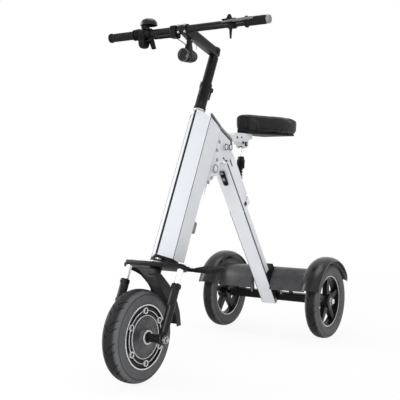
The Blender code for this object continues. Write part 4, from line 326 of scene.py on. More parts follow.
def tyre_half(half_width, bead, bead_half):
    """(radius, across) from the crown to the bead, with a step where the tread ends."""
    widest = WHEEL_RADIUS - half_width * WALL_HEIGHT
    points = []
    for index in range(13):
        turn = math.radians(TREAD_ANGLE * index / 12)
        radius = widest + (WHEEL_RADIUS - widest) * math.cos(turn) ** WALL_FULLNESS
        points.append((radius, half_width * math.sin(turn) ** WALL_FULLNESS))
    for angle in (TREAD_ANGLE + 4.5, 75.0, 82.0, 90.0):
        turn = math.radians(angle)
        radius = widest + (WHEEL_RADIUS - widest) * max(0.0, math.cos(turn)) ** WALL_FULLNESS - 0.0008
        points.append((radius, half_width * math.sin(turn) ** WALL_FULLNESS - TREAD_STEP))
    for share in (0.3, 0.55, 0.75, 0.86, 0.90, 1.0):
        bulge = math.cos(share * math.pi / 2) ** 0.75
        rib = RIM_RIB if 0.8 < share < 0.95 else 0.0
        points.append((widest + (bead - widest) * share,
                       bead_half + (half_width - TREAD_STEP - bead_half) * bulge + rib))
    return points


def build_tyre(name, half_width, bead, bead_half, body, stands_for, place):
    """One pitch of the tyre, bent from a grid and slotted, then repeated round the wheel."""
    half = tyre_half(half_width, bead, bead_half)
    section = [(radius, -across) for radius, across in reversed(half)] + half[1:]
    columns = len(section)
    middle = (columns - 1) / 2
    bpy.ops.mesh.primitive_grid_add(x_subdivisions=columns, y_subdivisions=PITCH_ROWS, size=1.0)
    piece = bpy.context.active_object
    piece.name = name
    for point in piece.data.vertices:
        column = round((point.co.x + 0.5) * columns)
        row = (point.co.y + 0.5) * PITCH_ROWS
        radius, across = section[column % columns]
        lean = SLOT_LEAN * (abs(across) / half_width) ** 0.9
        angle = 2 * math.pi / TREAD_PITCHES * (row / PITCH_ROWS + lean)
        point.co = (across, radius * math.sin(angle), radius * math.cos(angle))
    piece.data.update()
    pick_up(piece)
    bpy.ops.object.mode_set(mode="EDIT")
    bpy.ops.mesh.select_mode(type="FACE")
    bpy.ops.mesh.select_all(action="DESELECT")
    bpy.ops.object.mode_set(mode="OBJECT")
    # Painted shade in the slots and on the step where the tread ends, face by face.
    shade = piece.data.attributes.new("slot_shade", "FLOAT", "FACE")
    for face in piece.data.polygons:
        row, column = divmod(face.index, columns)
        out = abs(column + 0.5 - middle)
        left = column + 0.5 > middle
        long_slot = row == LONG_SLOT_ROWS[left] and out < SLOT_END
        short_slot = row == SHORT_SLOT_ROWS[left] and SLOT_START < out < SLOT_END
        face.select = (long_slot or short_slot) and column < columns - 1
        on_step = STEP_COLUMNS[0] < out < STEP_COLUMNS[1]
        shade.data[face.index].value = STEP_SHADE if on_step else 0.0
    bpy.ops.object.mode_set(mode="EDIT")
    bpy.ops.mesh.normals_make_consistent(inside=False)
    bpy.ops.mesh.extrude_region_shrink_fatten(TRANSFORM_OT_shrink_fatten={"value": -SLOT_DEPTH})
    bpy.ops.object.mode_set(mode="OBJECT")
    shade = piece.data.attributes["slot_shade"]
    for face in piece.data.polygons:
        if face.select:
            shade.data[face.index].value = 1.0
    # Painted shade at the crown: each point's share of the rubber colour, 0 on the crown and 1 on the walls.
    wall = piece.data.attributes.new("painted_crown_shade_fade", "FLOAT", "POINT")
    for point in piece.data.vertices:
        radius = math.hypot(point.co.y, point.co.z)
        share = min(1.0, max(0.0, (abs(point.co.x) / half_width - CROWN_SHADE_FADE_START) / CROWN_SHADE_FADE_OVER))
        on_wall = radius < WHEEL_RADIUS - half_width * WALL_HEIGHT
        wall.data[point.index].value = 1.0 if on_wall else share * share * (3 - 2 * share)
    edit_all()
    others = TREAD_PITCHES - 1
    bpy.ops.mesh.spin(steps=others, angle=2 * math.pi * others / TREAD_PITCHES, dupli=True,
                      center=(0.0, 0.0, 0.0), axis=(1.0, 0.0, 0.0))
    bpy.ops.object.mode_set(mode="OBJECT")
    close_up(piece, 0.00003)
    return finish_piece(piece, body, TYRE_RUBBER, stands_for, place, 40.0)


build_tyre("front_tyre_tread", 0.029, 0.0888, 0.0272, "front_wheel", ("front_tyre",), FRONT_WHEEL_FRAME)


# Motor wheel: a cast black rim with the motor in its hub, closed on the left by a screwed cover.
# The cover is turned aluminium: a black recess by the rim, two bright turned lines, six lugs cast
# round their screws, a dark satin disc and a bright step round the axle.
def edge_change(piece, width, segments, angle):
    """A live modifier that rounds a piece's sharp edges."""
    edge = piece.modifiers.new("edges", "BEVEL")
    edge.width = width
    edge.segments = segments
    edge.limit_method = "ANGLE"
    edge.angle_limit = math.radians(angle)
    return edge


def merge_changes(piece):
    """Live modifiers that join a solid's loose triangles into its flat faces."""
    weld = piece.modifiers.new("weld", "WELD")
    weld.merge_threshold = 0.000004
    flat = piece.modifiers.new("flat_faces", "DECIMATE")
    flat.decimate_type = "DISSOLVE"
    flat.angle_limit = math.radians(0.6)


def dress(name, material, width=0.0, segments=2, crease=35.0):
    """Gives a solid that stays in view its finish, and rounds its edges with live modifiers."""
    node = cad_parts[name]
    node.data.materials.clear()
    node.data.materials.append(material)
    node.data.shade_smooth()
    node.data.set_sharp_from_angle(angle=math.radians(crease))
    if width:
        merge_changes(node)
        edge_change(node, width, segments, crease).harden_normals = True


def new_piece(name, points, edges):
    """A new object from points and edges, picked up for editing."""
    mesh = bpy.data.meshes.new(name)
    mesh.from_pydata(points, edges, [])
    piece = bpy.data.objects.new(name, mesh)
    bpy.context.scene.collection.objects.link(piece)
    pick_up(piece)
    return piece


def copies_round(piece, count, start):
    """Copies one shape round the x axis, each with its own mesh, and joins them."""
    made = [piece]
    for index in range(1, count):
        twin = piece.copy()
        twin.data = piece.data.copy()
        bpy.context.scene.collection.objects.link(twin)
        twin.data.transform(Matrix.Rotation(start + 2 * math.pi * index / count, 4, "X"))
        made.append(twin)
    piece.data.transform(Matrix.Rotation(start, 4, "X"))
    pick_up(piece)
    for twin in made:
        twin.select_set(True)
    bpy.ops.object.join()


def turned(name, body, material, outline, place=None, at=(0.0, 0.0, 0.0), axis="x", side=1.0,
           steps=96, copies=0, stands_for=(), crease=35.0):
    """Spins an outline of (radius, place along the axis) points once round, moves it and finishes it.

    The outline is closed, unless both of its ends lie on the axis. It is mirrored where side is -1."""
    outline = [(radius, side * along) for radius, along in outline]
    spots = {"x": [(along, 0.0, radius) for radius, along in outline],
             "y": [(0.0, along, radius) for radius, along in outline],
             "z": [(radius, 0.0, along) for radius, along in outline]}[axis]
    edges = [(index, index + 1) for index in range(len(spots) - 1)]
    if outline[0][0] or outline[-1][0]:
        edges.append((len(spots) - 1, 0))
    piece = new_piece(name, spots, edges)
    edit_all()
    bpy.ops.mesh.spin(steps=steps, angle=2 * math.pi, center=(0.0, 0.0, 0.0),
                      axis=[float(letter == axis) for letter in "xyz"])
    bpy.ops.object.mode_set(mode="OBJECT")
    close_up(piece).data.transform(Matrix.Translation(at))
    if copies:
        copies_round(piece, copies, math.pi / copies)
    return finish_piece(piece, body, material, stands_for, place, crease)


def thin_lip(inner, outer, base, face):
    """The outline of a low ring with softened edges."""
    return [(inner, base), (inner, face - 0.0005), (inner + 0.0004, face), (outer - 0.0004, face),
            (outer, face - 0.0005), (outer, base)]


RIM_BLACK = cool_tone("rim_black", 0.0032, 0.006, 0.34, grain=700, relief=0.1, specular=0.18)
TURNED_ALLOY = surface("turned_alloy", (0.7, 0.7, 0.71), (0.6, 0.6, 0.61), 0.26, 0.16, metallic=0.55,
                       scale=120, grain=2400, pebbles=0.0, relief=0.05)
MOTOR_GREY = cool_tone("motor_grey", 0.085, 0.055, 0.3, 0.1, metallic=0.65, scale=60, grain=2200,
                       pebbles=0.1, relief=0.06)
BLACK_STEEL = cool_tone("black_steel", 0.006, 0.01, 0.3, grain=1200, relief=0.08, specular=0.2)
CAST_GREY = surface("cast_grey", (0.2, 0.2, 0.205), (0.27, 0.27, 0.275), 0.45, metallic=0.7, relief=0.16)

dress("hub_motor_shell", RIM_BLACK, 0.0006)
dress("motor_stator", CAST_GREY, 0.0004)

turned("hub_cover_recess", "front_wheel", RIM_BLACK, [
    (0.0827, 0.0228), (0.0827, 0.0252), (0.0812, 0.0252), (0.0806, 0.0243), (0.0728, 0.0243),
    (0.0724, 0.0262), (0.07, 0.0262), (0.0696, 0.0248), (0.06, 0.0246), (0.056, 0.0246), (0.035, 0.0246),
    (0.035, 0.0228),
], FRONT_WHEEL_FRAME, stands_for=("hub_cover",))

for name, side, inner, outer, base, face in (
    ("rim_edge_left", 1.0, 0.0842, 0.0880, 0.0262, 0.0285),
    ("cover_line_outer", 1.0, 0.0701, 0.0720, 0.0255, 0.0284),
    ("cover_line_inner", 1.0, 0.0570, 0.0590, 0.0242, 0.0282),
    ("rim_edge_right", -1.0, 0.0855, 0.0880, 0.0262, 0.0284),
):
    turned(name, "front_wheel", TURNED_ALLOY, thin_lip(inner, outer, base, face), FRONT_WHEEL_FRAME,
           side=side)

turned("motor_disc", "front_wheel", MOTOR_GREY, [
    (0.0566, 0.024), (0.0566, 0.0262), (0.056, 0.0267), (0.0538, 0.0268), (0.0532, 0.0263),
    (0.0516, 0.0263), (0.051, 0.0268), (0.04, 0.0273), (0.03, 0.029), (0.0262, 0.0308), (0.024, 0.0336),
    (0.0226, 0.0344), (0.018, 0.0346), (0.018, 0.03),
], FRONT_WHEEL_FRAME, crease=28.0)
turned("axle_step", "front_wheel", TURNED_ALLOY, [
    (0.0196, 0.0335), (0.0196, 0.0364), (0.019, 0.0372), (0.016, 0.0374), (0.0154, 0.0368),
    (0.015, 0.0335),
], FRONT_WHEEL_FRAME)
turned("axle_seal", "front_wheel", RIM_BLACK, [
    (0.0152, 0.0335), (0.0152, 0.0372), (0.014, 0.0392), (0.0126, 0.04), (0.0075, 0.04), (0.0075, 0.0335),
], FRONT_WHEEL_FRAME)

turned("cover_lugs", "front_wheel", TURNED_ALLOY, [
    (0.0088, 0.0246), (0.0088, 0.0298), (0.0083, 0.0304), (0.0066, 0.0304), (0.0061, 0.0298),
    (0.0061, 0.0276), (0.0, 0.0276), (0.0, 0.0246),
], FRONT_WHEEL_FRAME, at=(0.0, 0.0712, 0.0), steps=28, copies=6)
turned("cover_screws", "front_wheel", BLACK_STEEL, [
    (0.0, 0.0270), (0.0052, 0.0270), (0.0052, 0.0288), (0.0047, 0.0294), (0.0027, 0.0294), (0.0025, 0.0280),
    (0.0, 0.0280),
], FRONT_WHEEL_FRAME, at=(0.0, 0.0712, 0.0), steps=12, copies=6)

turned("axle_sleeve", "fork_lower", BLACK_STEEL, [
    (0.0066, 0.0412), (0.0112, 0.0412), (0.0116, 0.0418), (0.0116, 0.056), (0.0104, 0.0572),
    (0.0104, 0.064), (0.0118, 0.0652), (0.0118, 0.077), (0.0112, 0.0776), (0.0066, 0.0776),
], FRONT_WHEEL_FRAME, steps=36)


# Rear wheels: ten inch castings with black spokes and a thin machined lip, on stub axles.
# The tyres are narrower than the front one and carry the same slotted tread.
SPOKE_BLACK = cool_tone("spoke_black", 0.005, 0.009, 0.3, grain=800, relief=0.1, specular=0.2)
REAR_AXLE_Y = 0.391502
REAR_TRACK_HALF = 0.201
SIDES = ((1.0, "left"), (-1.0, "right"))
for side, label in SIDES:
    wheel_body = f"rear_wheel_{label}_body"
    wheel_frame = Matrix.Translation((side * REAR_TRACK_HALF, REAR_AXLE_Y, WHEEL_RADIUS))
    build_tyre(f"rear_tread_{label}", 0.025, 0.0878, 0.0152, wheel_body, (f"rear_tyre_{label}",), wheel_frame)
    dress(f"rear_wheel_{label}", SPOKE_BLACK, 0.0010, 3)
    for face in (1.0, -1.0):
        face_name = "outer" if face == side else "inner"
        turned(f"rear_lip_{label}_{face_name}", wheel_body, TURNED_ALLOY,
               thin_lip(0.0838, 0.0872, 0.0136, 0.0153), wheel_frame, side=face)


# Front fork: two short telescopic legs. The black sliders carry the axle in their dropouts and run on
# chromed tubes, which a forged crown holds. A flat metal strip lies on the inner side of each leg.
RAKE = math.radians(26.0)
STEERING_FRAME = Matrix.Translation((0.0, FRONT_AXLE_Y, WHEEL_RADIUS)) @ Matrix.Rotation(-RAKE, 4, "X")


def apply_changes(piece):
    pick_up(piece)
    for change in list(piece.modifiers):
        bpy.ops.object.modifier_apply(modifier=change.name)
    return piece


def block_piece(name, one, other, width=0.0):
    """A box between two corners, modelled in edit mode, with rounded edges."""
    bpy.ops.mesh.primitive_cube_add(size=1.0)
    piece = bpy.context.active_object
    piece.name = name
    edit_all()
    bpy.ops.transform.resize(value=[abs(a - b) for a, b in zip(one, other)])
    if width:
        bpy.ops.mesh.bevel(offset=width, segments=2, affect="EDGES")
    bpy.ops.transform.translate(value=[(a + b) / 2 for a, b in zip(one, other)])
    bpy.ops.object.mode_set(mode="OBJECT")
    return piece


def boxed(name, body, material, one, other, width, place):
    """A finished box on its body."""
    return finish_piece(block_piece(name, one, other, width), body, material, (), place)


def push_outline(name, outline, axis, one, other, width=0.0, segments=2, angle=30.0):
    """Fills an outline, pushes it along an axis and rounds its sharp edges."""
    low, high = sorted((one, other))
    spots = {"x": [(low, a, b) for a, b in outline], "y": [(a, low, b) for a, b in outline]}[axis]
    piece = new_piece(name, spots, [(index, (index + 1) % len(spots)) for index in range(len(spots))])
    edit_all()
    bpy.ops.mesh.edge_face_add()
    push = [(high - low) * (letter == axis) for letter in "xyz"]
    bpy.ops.mesh.extrude_region_move(TRANSFORM_OT_translate={"value": push})
    bpy.ops.mesh.select_all(action="SELECT")
    bpy.ops.mesh.normals_make_consistent(inside=False)
    bpy.ops.object.mode_set(mode="OBJECT")
    if width:
        edge_change(piece, width, segments, angle)
        apply_changes(piece)
    return piece


def pushed(name, body, material, outline, axis, one, other, width, place, segments=2,
           at=(0.0, 0.0, 0.0), stands_for=()):
    """A finished plate, pushed from its outline, on its body."""
    piece = push_outline(name, outline, axis, one, other, width, segments)
    piece.data.transform(Matrix.Translation(at))
    return finish_piece(piece, body, material, stands_for, place)


SLIDER_BLACK = cool_tone("slider_black", 0.006, 0.01, 0.3, grain=1500, relief=0.08, coat=0.06,
                         coat_roughness=0.14, specular=0.17)
ZINC = surface("zinc_plate", (0.5, 0.5, 0.51), (0.38, 0.38, 0.39), 0.28, 0.16, metallic=1.0, scale=160,
               relief=0.05)
CHROME = surface("chrome_plate", (0.86, 0.86, 0.87), (0.78, 0.78, 0.79), 0.06, 0.1, metallic=1.0, scale=200,
                 grain=3000, pebbles=0.0, relief=0.02)
HARD_CHROME = surface("hard_chrome", (0.93, 0.93, 0.94), (0.88, 0.88, 0.89), 0.16, 0.08, metallic=0.35,
                      scale=160, grain=3000, pebbles=0.0, relief=0.02)
CROWN_BLACK = cool_tone("crown_black", 0.005, 0.009, 0.36, 0.16, grain=900, relief=0.22, coat=0.03,
                        coat_roughness=0.3, specular=0.13)
for side, label in SIDES:
    centre = (side * 0.088, -0.008, 0.0)
    dress(f"fork_slider_{label}", SLIDER_BLACK, 0.0008)
    dress(f"stanchion_{label}", HARD_CHROME, 0.0003)
    turned(f"slider_band_{label}", "fork_lower", BLACK_STEEL, [
        (0.011, 0.088), (0.0119, 0.0884), (0.0124, 0.0892), (0.0124, 0.0918), (0.0119, 0.0926),
        (0.011, 0.093),
    ], STEERING_FRAME, at=centre, axis="z", steps=40)
    turned(f"slider_wiper_{label}", "fork_lower", RIM_BLACK, [
        (0.0092, 0.1492), (0.0092, 0.1512), (0.01, 0.1522), (0.0122, 0.152), (0.0132, 0.1506),
        (0.0134, 0.1486), (0.012, 0.148),
    ], STEERING_FRAME, at=centre, axis="z", steps=40)
    boxed(f"slider_strip_{label}", "fork_lower", CROWN_BLACK,
          (side * 0.074, -0.013, 0.0935), (side * 0.079, -0.003, 0.14), 0.0014, STEERING_FRAME)
    nut_face = [(0.0104 * math.cos(math.radians(turn)), 0.0104 * math.sin(math.radians(turn)))
                for turn in range(30, 390, 60)]
    pushed(f"axle_nut_{label}", "fork_lower", CAST_GREY, nut_face, "x", side * 0.0884, side * 0.0974,
           0.0011, FRONT_WHEEL_FRAME)
    turned(f"axle_washer_{label}", "fork_lower", MOTOR_GREY, [
        (0.0064, 0.0874), (0.0112, 0.0874), (0.0112, 0.0885), (0.0064, 0.0887),
    ], FRONT_WHEEL_FRAME, side=side, steps=40)
    turned(f"axle_stud_{label}", "fork_lower", BLACK_STEEL, [
        (0.0, 0.096), (0.0062, 0.096), (0.0062, 0.1002), (0.0056, 0.101),
        (0.003, 0.1012), (0.0028, 0.0996), (0.0, 0.0996),
    ], FRONT_WHEEL_FRAME, side=side, steps=28)
dress("front_axle", ZINC, 0.0003)
dress("fork_crown", CROWN_BLACK, 0.0016, 3)

turned("headset_race", "steering", ZINC, [
    (0.0118, 0.2072), (0.0205, 0.2072), (0.0212, 0.208), (0.0212, 0.2104), (0.0204, 0.2112),
    (0.0196, 0.2116), (0.0196, 0.215), (0.0188, 0.216), (0.0118, 0.2162),
], STEERING_FRAME, axis="z", steps=56)


# Front mudguard: one moulded black sheet under the crown, with a deep skirt on the motor wheel's left
# side.
GUARD_BLACK = cool_tone("guard_black", 0.009, 0.014, 0.38, grain=1100, relief=0.14, specular=0.2)
dress("front_mudguard", GUARD_BLACK, 0.0007, 2, 40.0)


# Battery case: a satin silver shell folded to a narrow nose, with a black trim strip down the nose and
# dark joints where the flared front meets the sides. A cast foot and a lid that falls to the rear close it.
SILVER_LIGHT = (0.685, 0.700, 0.735)
SILVER_SHADE = (0.655, 0.670, 0.705)
SILVER = surface("satin_silver", SILVER_LIGHT, SILVER_SHADE, 0.34, 0.07, metallic=0.12, scale=14,
                 grain=2600, pebbles=0.0, relief=0.05, coat=0.25, coat_roughness=0.28)
SEAM_GREY = surface("seam_grey", (0.045, 0.046, 0.05), (0.065, 0.066, 0.07), 0.55, 0.1, grain=900,
                    relief=0.1, specular=0.2)
CHANNEL_GREY = surface("channel_grey", (0.17, 0.174, 0.182), (0.22, 0.225, 0.235), 0.4, metallic=0.3,
                       relief=0.08)
FOOT_BLACK = cool_tone("foot_black", 0.0045, 0.0085, 0.42, 0.14, grain=850, relief=0.25, specular=0.14)
dress("head_case", SILVER, 0.0012, 3, 24.0)
dress("base_casting", FOOT_BLACK, 0.0010)
dress("charge_port", CHANNEL_GREY, 0.0008)
LID_FALL, LID_FALL_START, LID_FALL_LENGTH = 0.0095, 0.014, 0.057
LID_FOOT, LID_HEIGHT = 0.683, 0.008


def copy_of(node_name, name):
    """A loose copy of a solid's own mesh."""
    piece = bpy.data.objects.new(name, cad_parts[node_name].data.copy())
    bpy.context.scene.collection.objects.link(piece)
    return piece


def reshaped(name, node_name, place, change, width, crease):
    """A copy of a solid with some of its points moved in one frame, and its edges rounded."""
    piece = copy_of(node_name, name)
    back = place.inverted()
    for point in piece.data.vertices:
        point.co = place @ change(back @ point.co)
    merge_changes(piece)
    edge_change(piece, width, 3, crease)
    return apply_changes(piece)


def sloped_lid(spot):
    """The lid's top falls to the rear."""
    back_share = min(1.0, max(0.0, (spot.y - LID_FALL_START) / LID_FALL_LENGTH))
    top_share = min(1.0, max(0.0, (spot.z - LID_FOOT) / LID_HEIGHT))
    spot.z -= LID_FALL * back_share * top_share
    return spot


case_lid = reshaped("case_lid", "top_cap", STEERING_FRAME, sloped_lid, 0.0012, 24.0)
finish_piece(case_lid, "frame", SILVER, ("top_cap",))
CASE_FOOT = 0.230
CASE_HEAD = 0.682
boxed("nose_strip", "frame", GUARD_BLACK,
      (-0.0038, -0.017, CASE_FOOT + 0.0006), (0.0038, -0.015, CASE_HEAD - 0.0004), 0.0003, STEERING_FRAME)
boxed("lid_strip", "frame", GUARD_BLACK,
      (-0.0038, -0.017, CASE_HEAD + 0.0004), (0.0038, -0.015, 0.6915), 0.0003, STEERING_FRAME)
for side, label in SIDES:
    for seam_name, start, end, foot, head in (
        ("corner", 0.0142, 0.0160, CASE_FOOT + 0.0006, CASE_HEAD - 0.0004),
        ("lid", 0.0142, 0.0160, CASE_HEAD + 0.0004, 0.6915),
    ):
        boxed(f"case_seam_{seam_name}_{label}", "frame", SEAM_GREY,
              (side * 0.0372, start, foot), (side * 0.0383, end, head), 0.0002, STEERING_FRAME)
    boxed(f"plate_joint_{label}", "frame", SEAM_GREY,
          (side * 0.0372, 0.0816, 0.456), (side * 0.0382, 0.0823, 0.67), 0.0002, STEERING_FRAME)

port_face = [(-0.0085, -0.0050), (0.0085, -0.0050), (0.0085, 0.0026), (0.0060, 0.0050), (-0.0060, 0.0050),
             (-0.0085, 0.0026)]
pushed("charge_port_lid", "frame", RIM_BLACK, port_face, "y", 0.0, 0.0016, 0.0006,
       STEERING_FRAME, at=(0.0267, 0.0868, 0.352))


# Folding bracket: two silver side plates welded to the case's spine. Screws with dark washers run down
# the joint, big flat bolts carry the leg and the seat arm, and a grey rail caps the upper edge. The rail's
# mid grey is painted shade for the shaded side of the arm between the plates, and the black strip under it
# is painted shadow in the gap there.
RAIL_PAINTED_SHADE = surface("rail_painted_shade", (0.2, 0.204, 0.212), (0.25, 0.255, 0.263), 0.5, 0.08, relief=0.08,
                    specular=0.12)


def plate_screw(name, back, up, side):
    """A flat head in a dark ring on the bracket's side."""
    radius, base, face = 0.0050, 0.0376, 0.0389
    turned(f"{name}_ring", "frame", RIM_BLACK, [
        (radius, base), (radius, face - 0.0002), (radius - 0.0018, face + 0.0001), (radius - 0.0018, base),
    ], STEERING_FRAME, at=(0.0, back, up), side=side, steps=36)
    turned(f"{name}_head", "frame", SILVER, [
        (0.0, base), (radius - 0.0019, base), (radius - 0.0019, face - 0.0004), (radius - 0.0024, face),
        (radius * 0.42, face), (radius * 0.38, face - 0.0012), (0.0, face - 0.0012),
    ], STEERING_FRAME, at=(0.0, back, up), side=side, steps=36)


dress("pivot_bracket", SILVER, 0.0010, 2, 24.0)
for bolt in ("leg_pivot_bolt", "seat_arm_bolt", "seat_stop_bolt"):
    dress(bolt, SILVER, 0.0008)
for side, label in SIDES:
    for bolt, back, up, radius in (("leg_bolt", 0.1007, 0.5531, 0.0129),
                                   ("seat_bolt", 0.1271, 0.6406, 0.0099),
                                   ("stop_bolt", 0.1514, 0.6524, 0.0099)):
        turned(f"{bolt}_washer_{label}", "frame", RIM_BLACK, [
            (radius - 0.0021, 0.0412), (radius, 0.0416), (radius, 0.0429),
            (radius - 0.0004, 0.0432), (radius - 0.0021, 0.0432),
        ], STEERING_FRAME, at=(0.0, back, up), side=side, steps=44)
    for index, (back, up) in enumerate(((0.0908, 0.6396), (0.0897, 0.6101), (0.1024, 0.5840),
                                        (0.0977, 0.5205), (0.0881, 0.5014))):
        plate_screw(f"plate_screw_{index}_{label}", back, up, side)
    # Painted shadow: a thin black plate just above each side plate's lower edge, for the shade in the gap
    # under that edge.
    boxed(f"plate_edge_shadow_{label}", "frame", RIM_BLACK,
          (side * 0.0374, 0.13, 0.603), (side * 0.0385, 0.1402, 0.6082), 0.0005, STEERING_FRAME)
    # Painted shade: the grey rails stand in for the shaded side of the arm between the plates, and the black
    # strips under them for the shadow in the gap.
    for name, outline, inner, outer, width, slot, finish in (
        ("lid_rail", [(0.0162, 0.6916), (0.0786, 0.6810), (0.0786, 0.6888), (0.0162, 0.6984)],
         0.0320, 0.0381, 0.0006, "grey_plastic", RAIL_PAINTED_SHADE),
        ("lid_rail_shadow", [(0.0162, 0.6874), (0.0786, 0.6770), (0.0786, 0.6812), (0.0162, 0.6918)],
         0.0368, 0.0384, 0.0002, "black_plastic", RIM_BLACK),
        ("bracket_rail", [(0.0792, 0.6786), (0.1496, 0.6766), (0.1652, 0.6514), (0.1714, 0.6550),
                          (0.1544, 0.6848), (0.0792, 0.6872)],
         0.0300, 0.0381, 0.0006, "grey_plastic", RAIL_PAINTED_SHADE),
        ("bracket_rail_shadow", [(0.0792, 0.6744), (0.1474, 0.6724), (0.1620, 0.6488), (0.1650, 0.6514),
                              (0.1496, 0.6768), (0.0792, 0.6788)],
         0.0372, 0.0386, 0.0002, "black_plastic", RIM_BLACK),
    ):
        pushed(f"{name}_{label}", "frame", finish, outline, "x", side * inner, side * outer, width,
               STEERING_FRAME)


# Steering column: a bright collar on the lid, a black painted sleeve, and the thinner tube that slides
# in it. A clamp band with a small cam lever holds the height.
COLUMN_BLACK = cool_tone("column_black", 0.0045, 0.0075, 0.33, 0.1, grain=1300, relief=0.09, coat=0.03,
                         coat_roughness=0.2, specular=0.13)
COLLAR_BRIGHT = surface("collar_bright", (0.62, 0.62, 0.63), (0.5, 0.5, 0.51), 0.18, metallic=0.85,
                        scale=90, relief=0.04)
dress("headset_collar", COLLAR_BRIGHT, 0.0006)
dress("steerer", ZINC, 0.0004)
dress("column_sleeve", COLUMN_BLACK, 0.0012, 3)
dress("column_tube", COLUMN_BLACK, 0.0010, 3)
dress("clamp_lever", BLACK_STEEL, 0.0010, 2)
for name, radius, foot, head in (("sleeve_foot_ring", 0.0180, 0.6992, 0.7062),
                                 ("sleeve_seam_ring", 0.0176, 0.7400, 0.7408)):
    turned(name, "steering", BLACK_STEEL, [
        (radius - 0.0012, foot), (radius - 0.0002, foot), (radius, foot + 0.0003), (radius, head - 0.0003),
        (radius - 0.0002, head), (radius - 0.0012, head),
    ], STEERING_FRAME, axis="z", steps=64)


# Stem and handlebar: a forged arm hinged on the column's head, with a split clamp for the bar.
# The bar is black painted tube with ribbed grips between flanges, and caps at its ends.
STEM_BLACK = cool_tone("stem_black", 0.0055, 0.0095, 0.3, grain=1000, relief=0.14, coat=0.04,
                       coat_roughness=0.2, specular=0.15)
BAR_BLACK = cool_tone("bar_black", 0.005, 0.009, 0.28, grain=1600, relief=0.06, coat=0.05,
                      coat_roughness=0.16, specular=0.16)
GRIP_RUBBER = cool_tone("grip_rubber", 0.006, 0.01, 0.66, grain=1500, relief=0.3, specular=0.16)
GRIP_LIGHT = surface("grip_end_grey", (0.24, 0.24, 0.25), (0.19, 0.19, 0.2), 0.42, grain=1500, relief=0.1)
BAR_FRAME = Matrix.Translation((0.0, -0.173194, 0.986478))
BAR_HALF = 0.280
GRIP_RIBS = 7
dress("stem_arm", STEM_BLACK, 0.0014, 3)
dress("handlebar", BAR_BLACK, 0.0006)
for index, (across, up) in enumerate(((-0.011, 0.010), (0.011, 0.010), (-0.011, -0.010), (0.011, -0.010))):
    turned(f"bar_clamp_screw_{index}", "stem", ZINC, [
        (0.0, -0.0205), (0.003, -0.0205), (0.0034, -0.02), (0.0034, -0.015), (0.0, -0.015),
    ], BAR_FRAME, at=(across, 0.0, up), axis="y", steps=20)
HINGE_FRAME = Matrix.Translation((0.0, -0.00721, 0.93951)) @ Matrix.Rotation(-RAKE, 4, "X")
turned("stem_hinge_cap", "stem", STEM_BLACK, [
    (0.0, 0.003), (0.0146, 0.003), (0.015, 0.0036), (0.015, 0.0142), (0.0138, 0.0154), (0.0, 0.0156),
], HINGE_FRAME, axis="z", steps=48)


def build_grip(side, length, cap_radius, cap_material):
    """A moulded grip: an inner flange, raised ribs, and an end cap."""
    name = "grip_left" if side > 0 else "grip_right"
    inner = BAR_HALF - length
    outline = [(0.0111, inner), (0.0160, inner), (0.0165, inner + 0.0006), (0.0165, inner + 0.0034),
               (0.0158, inner + 0.0040), (0.0128, inner + 0.0046)]
    first = inner + 0.010
    step = (BAR_HALF - 0.014 - first) / GRIP_RIBS
    for index in range(GRIP_RIBS):
        place = first + index * step
        outline += [(0.0122, place), (0.0128, place + 0.0008), (0.0128, place + step - 0.0030),
                    (0.0122, place + step - 0.0022)]
    outline += [(0.0122, BAR_HALF - 0.0090), (0.0111, BAR_HALF - 0.0088)]
    turned(f"{name}_ribbed", "stem", GRIP_RUBBER, outline, BAR_FRAME, side=side, steps=72,
           stands_for=(name,))
    cap = ((0.0, 0.0008), (0.87, 0.0004), (0.98, 0.0018), (1.0, 0.0034), (1.0, 0.0070), (0.94, 0.0086),
           (0.0, 0.0086))
    turned(f"{name}_ribbed_cap", "stem", cap_material,
           [(share * cap_radius, BAR_HALF - inset) for share, inset in cap], BAR_FRAME, side=side, steps=56)


build_grip(1.0, 0.075, 0.0120, GRIP_LIGHT)
build_grip(-1.0, 0.099, 0.0145, GRIP_RUBBER)


# Bar controls: a split housing with a thumb throttle, a button and a bell on the right, a brake lever
# in its perch on the left, and one cable in a spiral wrap that runs to the junction box by the stem.
CONTROL_BLACK = cool_tone("control_black", 0.003, 0.0058, 0.4, grain=1400, relief=0.16, specular=0.12)
LEVER_GREY = surface("lever_grey", (0.17, 0.17, 0.175), (0.12, 0.12, 0.125), 0.3, metallic=0.8, scale=90,
                     relief=0.06)
BELL_BLACK = cool_tone("bell_black", 0.0025, 0.0045, 0.14, 0.08, grain=600, relief=0.02, specular=0.32)
CURVE_PARTS = 6


def smooth_line(points):
    """A curve through every point, with even steps between them."""
    out = []
    count = len(points)
    for index in range(count - 1):
        before = Vector(points[max(0, index - 1)])
        start, end = Vector(points[index]), Vector(points[index + 1])
        after = Vector(points[min(count - 1, index + 2)])
        for step in range(CURVE_PARTS):
            t = step / CURVE_PARTS
            bend = 2 * before - 5 * start + 4 * end - after
            out.append(0.5 * (2 * start + (end - before) * t + bend * t * t
                              + (3 * start - before - 3 * end + after) * t ** 3))
    out.append(Vector(points[-1]))
    return out


def tube_along(name, points, radius, closed=False):
    """A round wire, cord or piping along a line of points, as a mesh."""
    line = bpy.data.curves.new(name, "CURVE")
    line.dimensions = "3D"
    line.bevel_depth = radius
    line.bevel_resolution = 2
    line.use_fill_caps = True
    spline = line.splines.new("POLY")
    spline.points.add(len(points) - 1)
    for spot, point in zip(spline.points, points):
        spot.co = (*point, 1.0)
    spline.use_cyclic_u = closed
    piece = bpy.data.objects.new(name, line)
    bpy.context.scene.collection.objects.link(piece)
    pick_up(piece)
    bpy.ops.object.convert(target="MESH")
    return close_up(bpy.context.active_object, 0.00001)


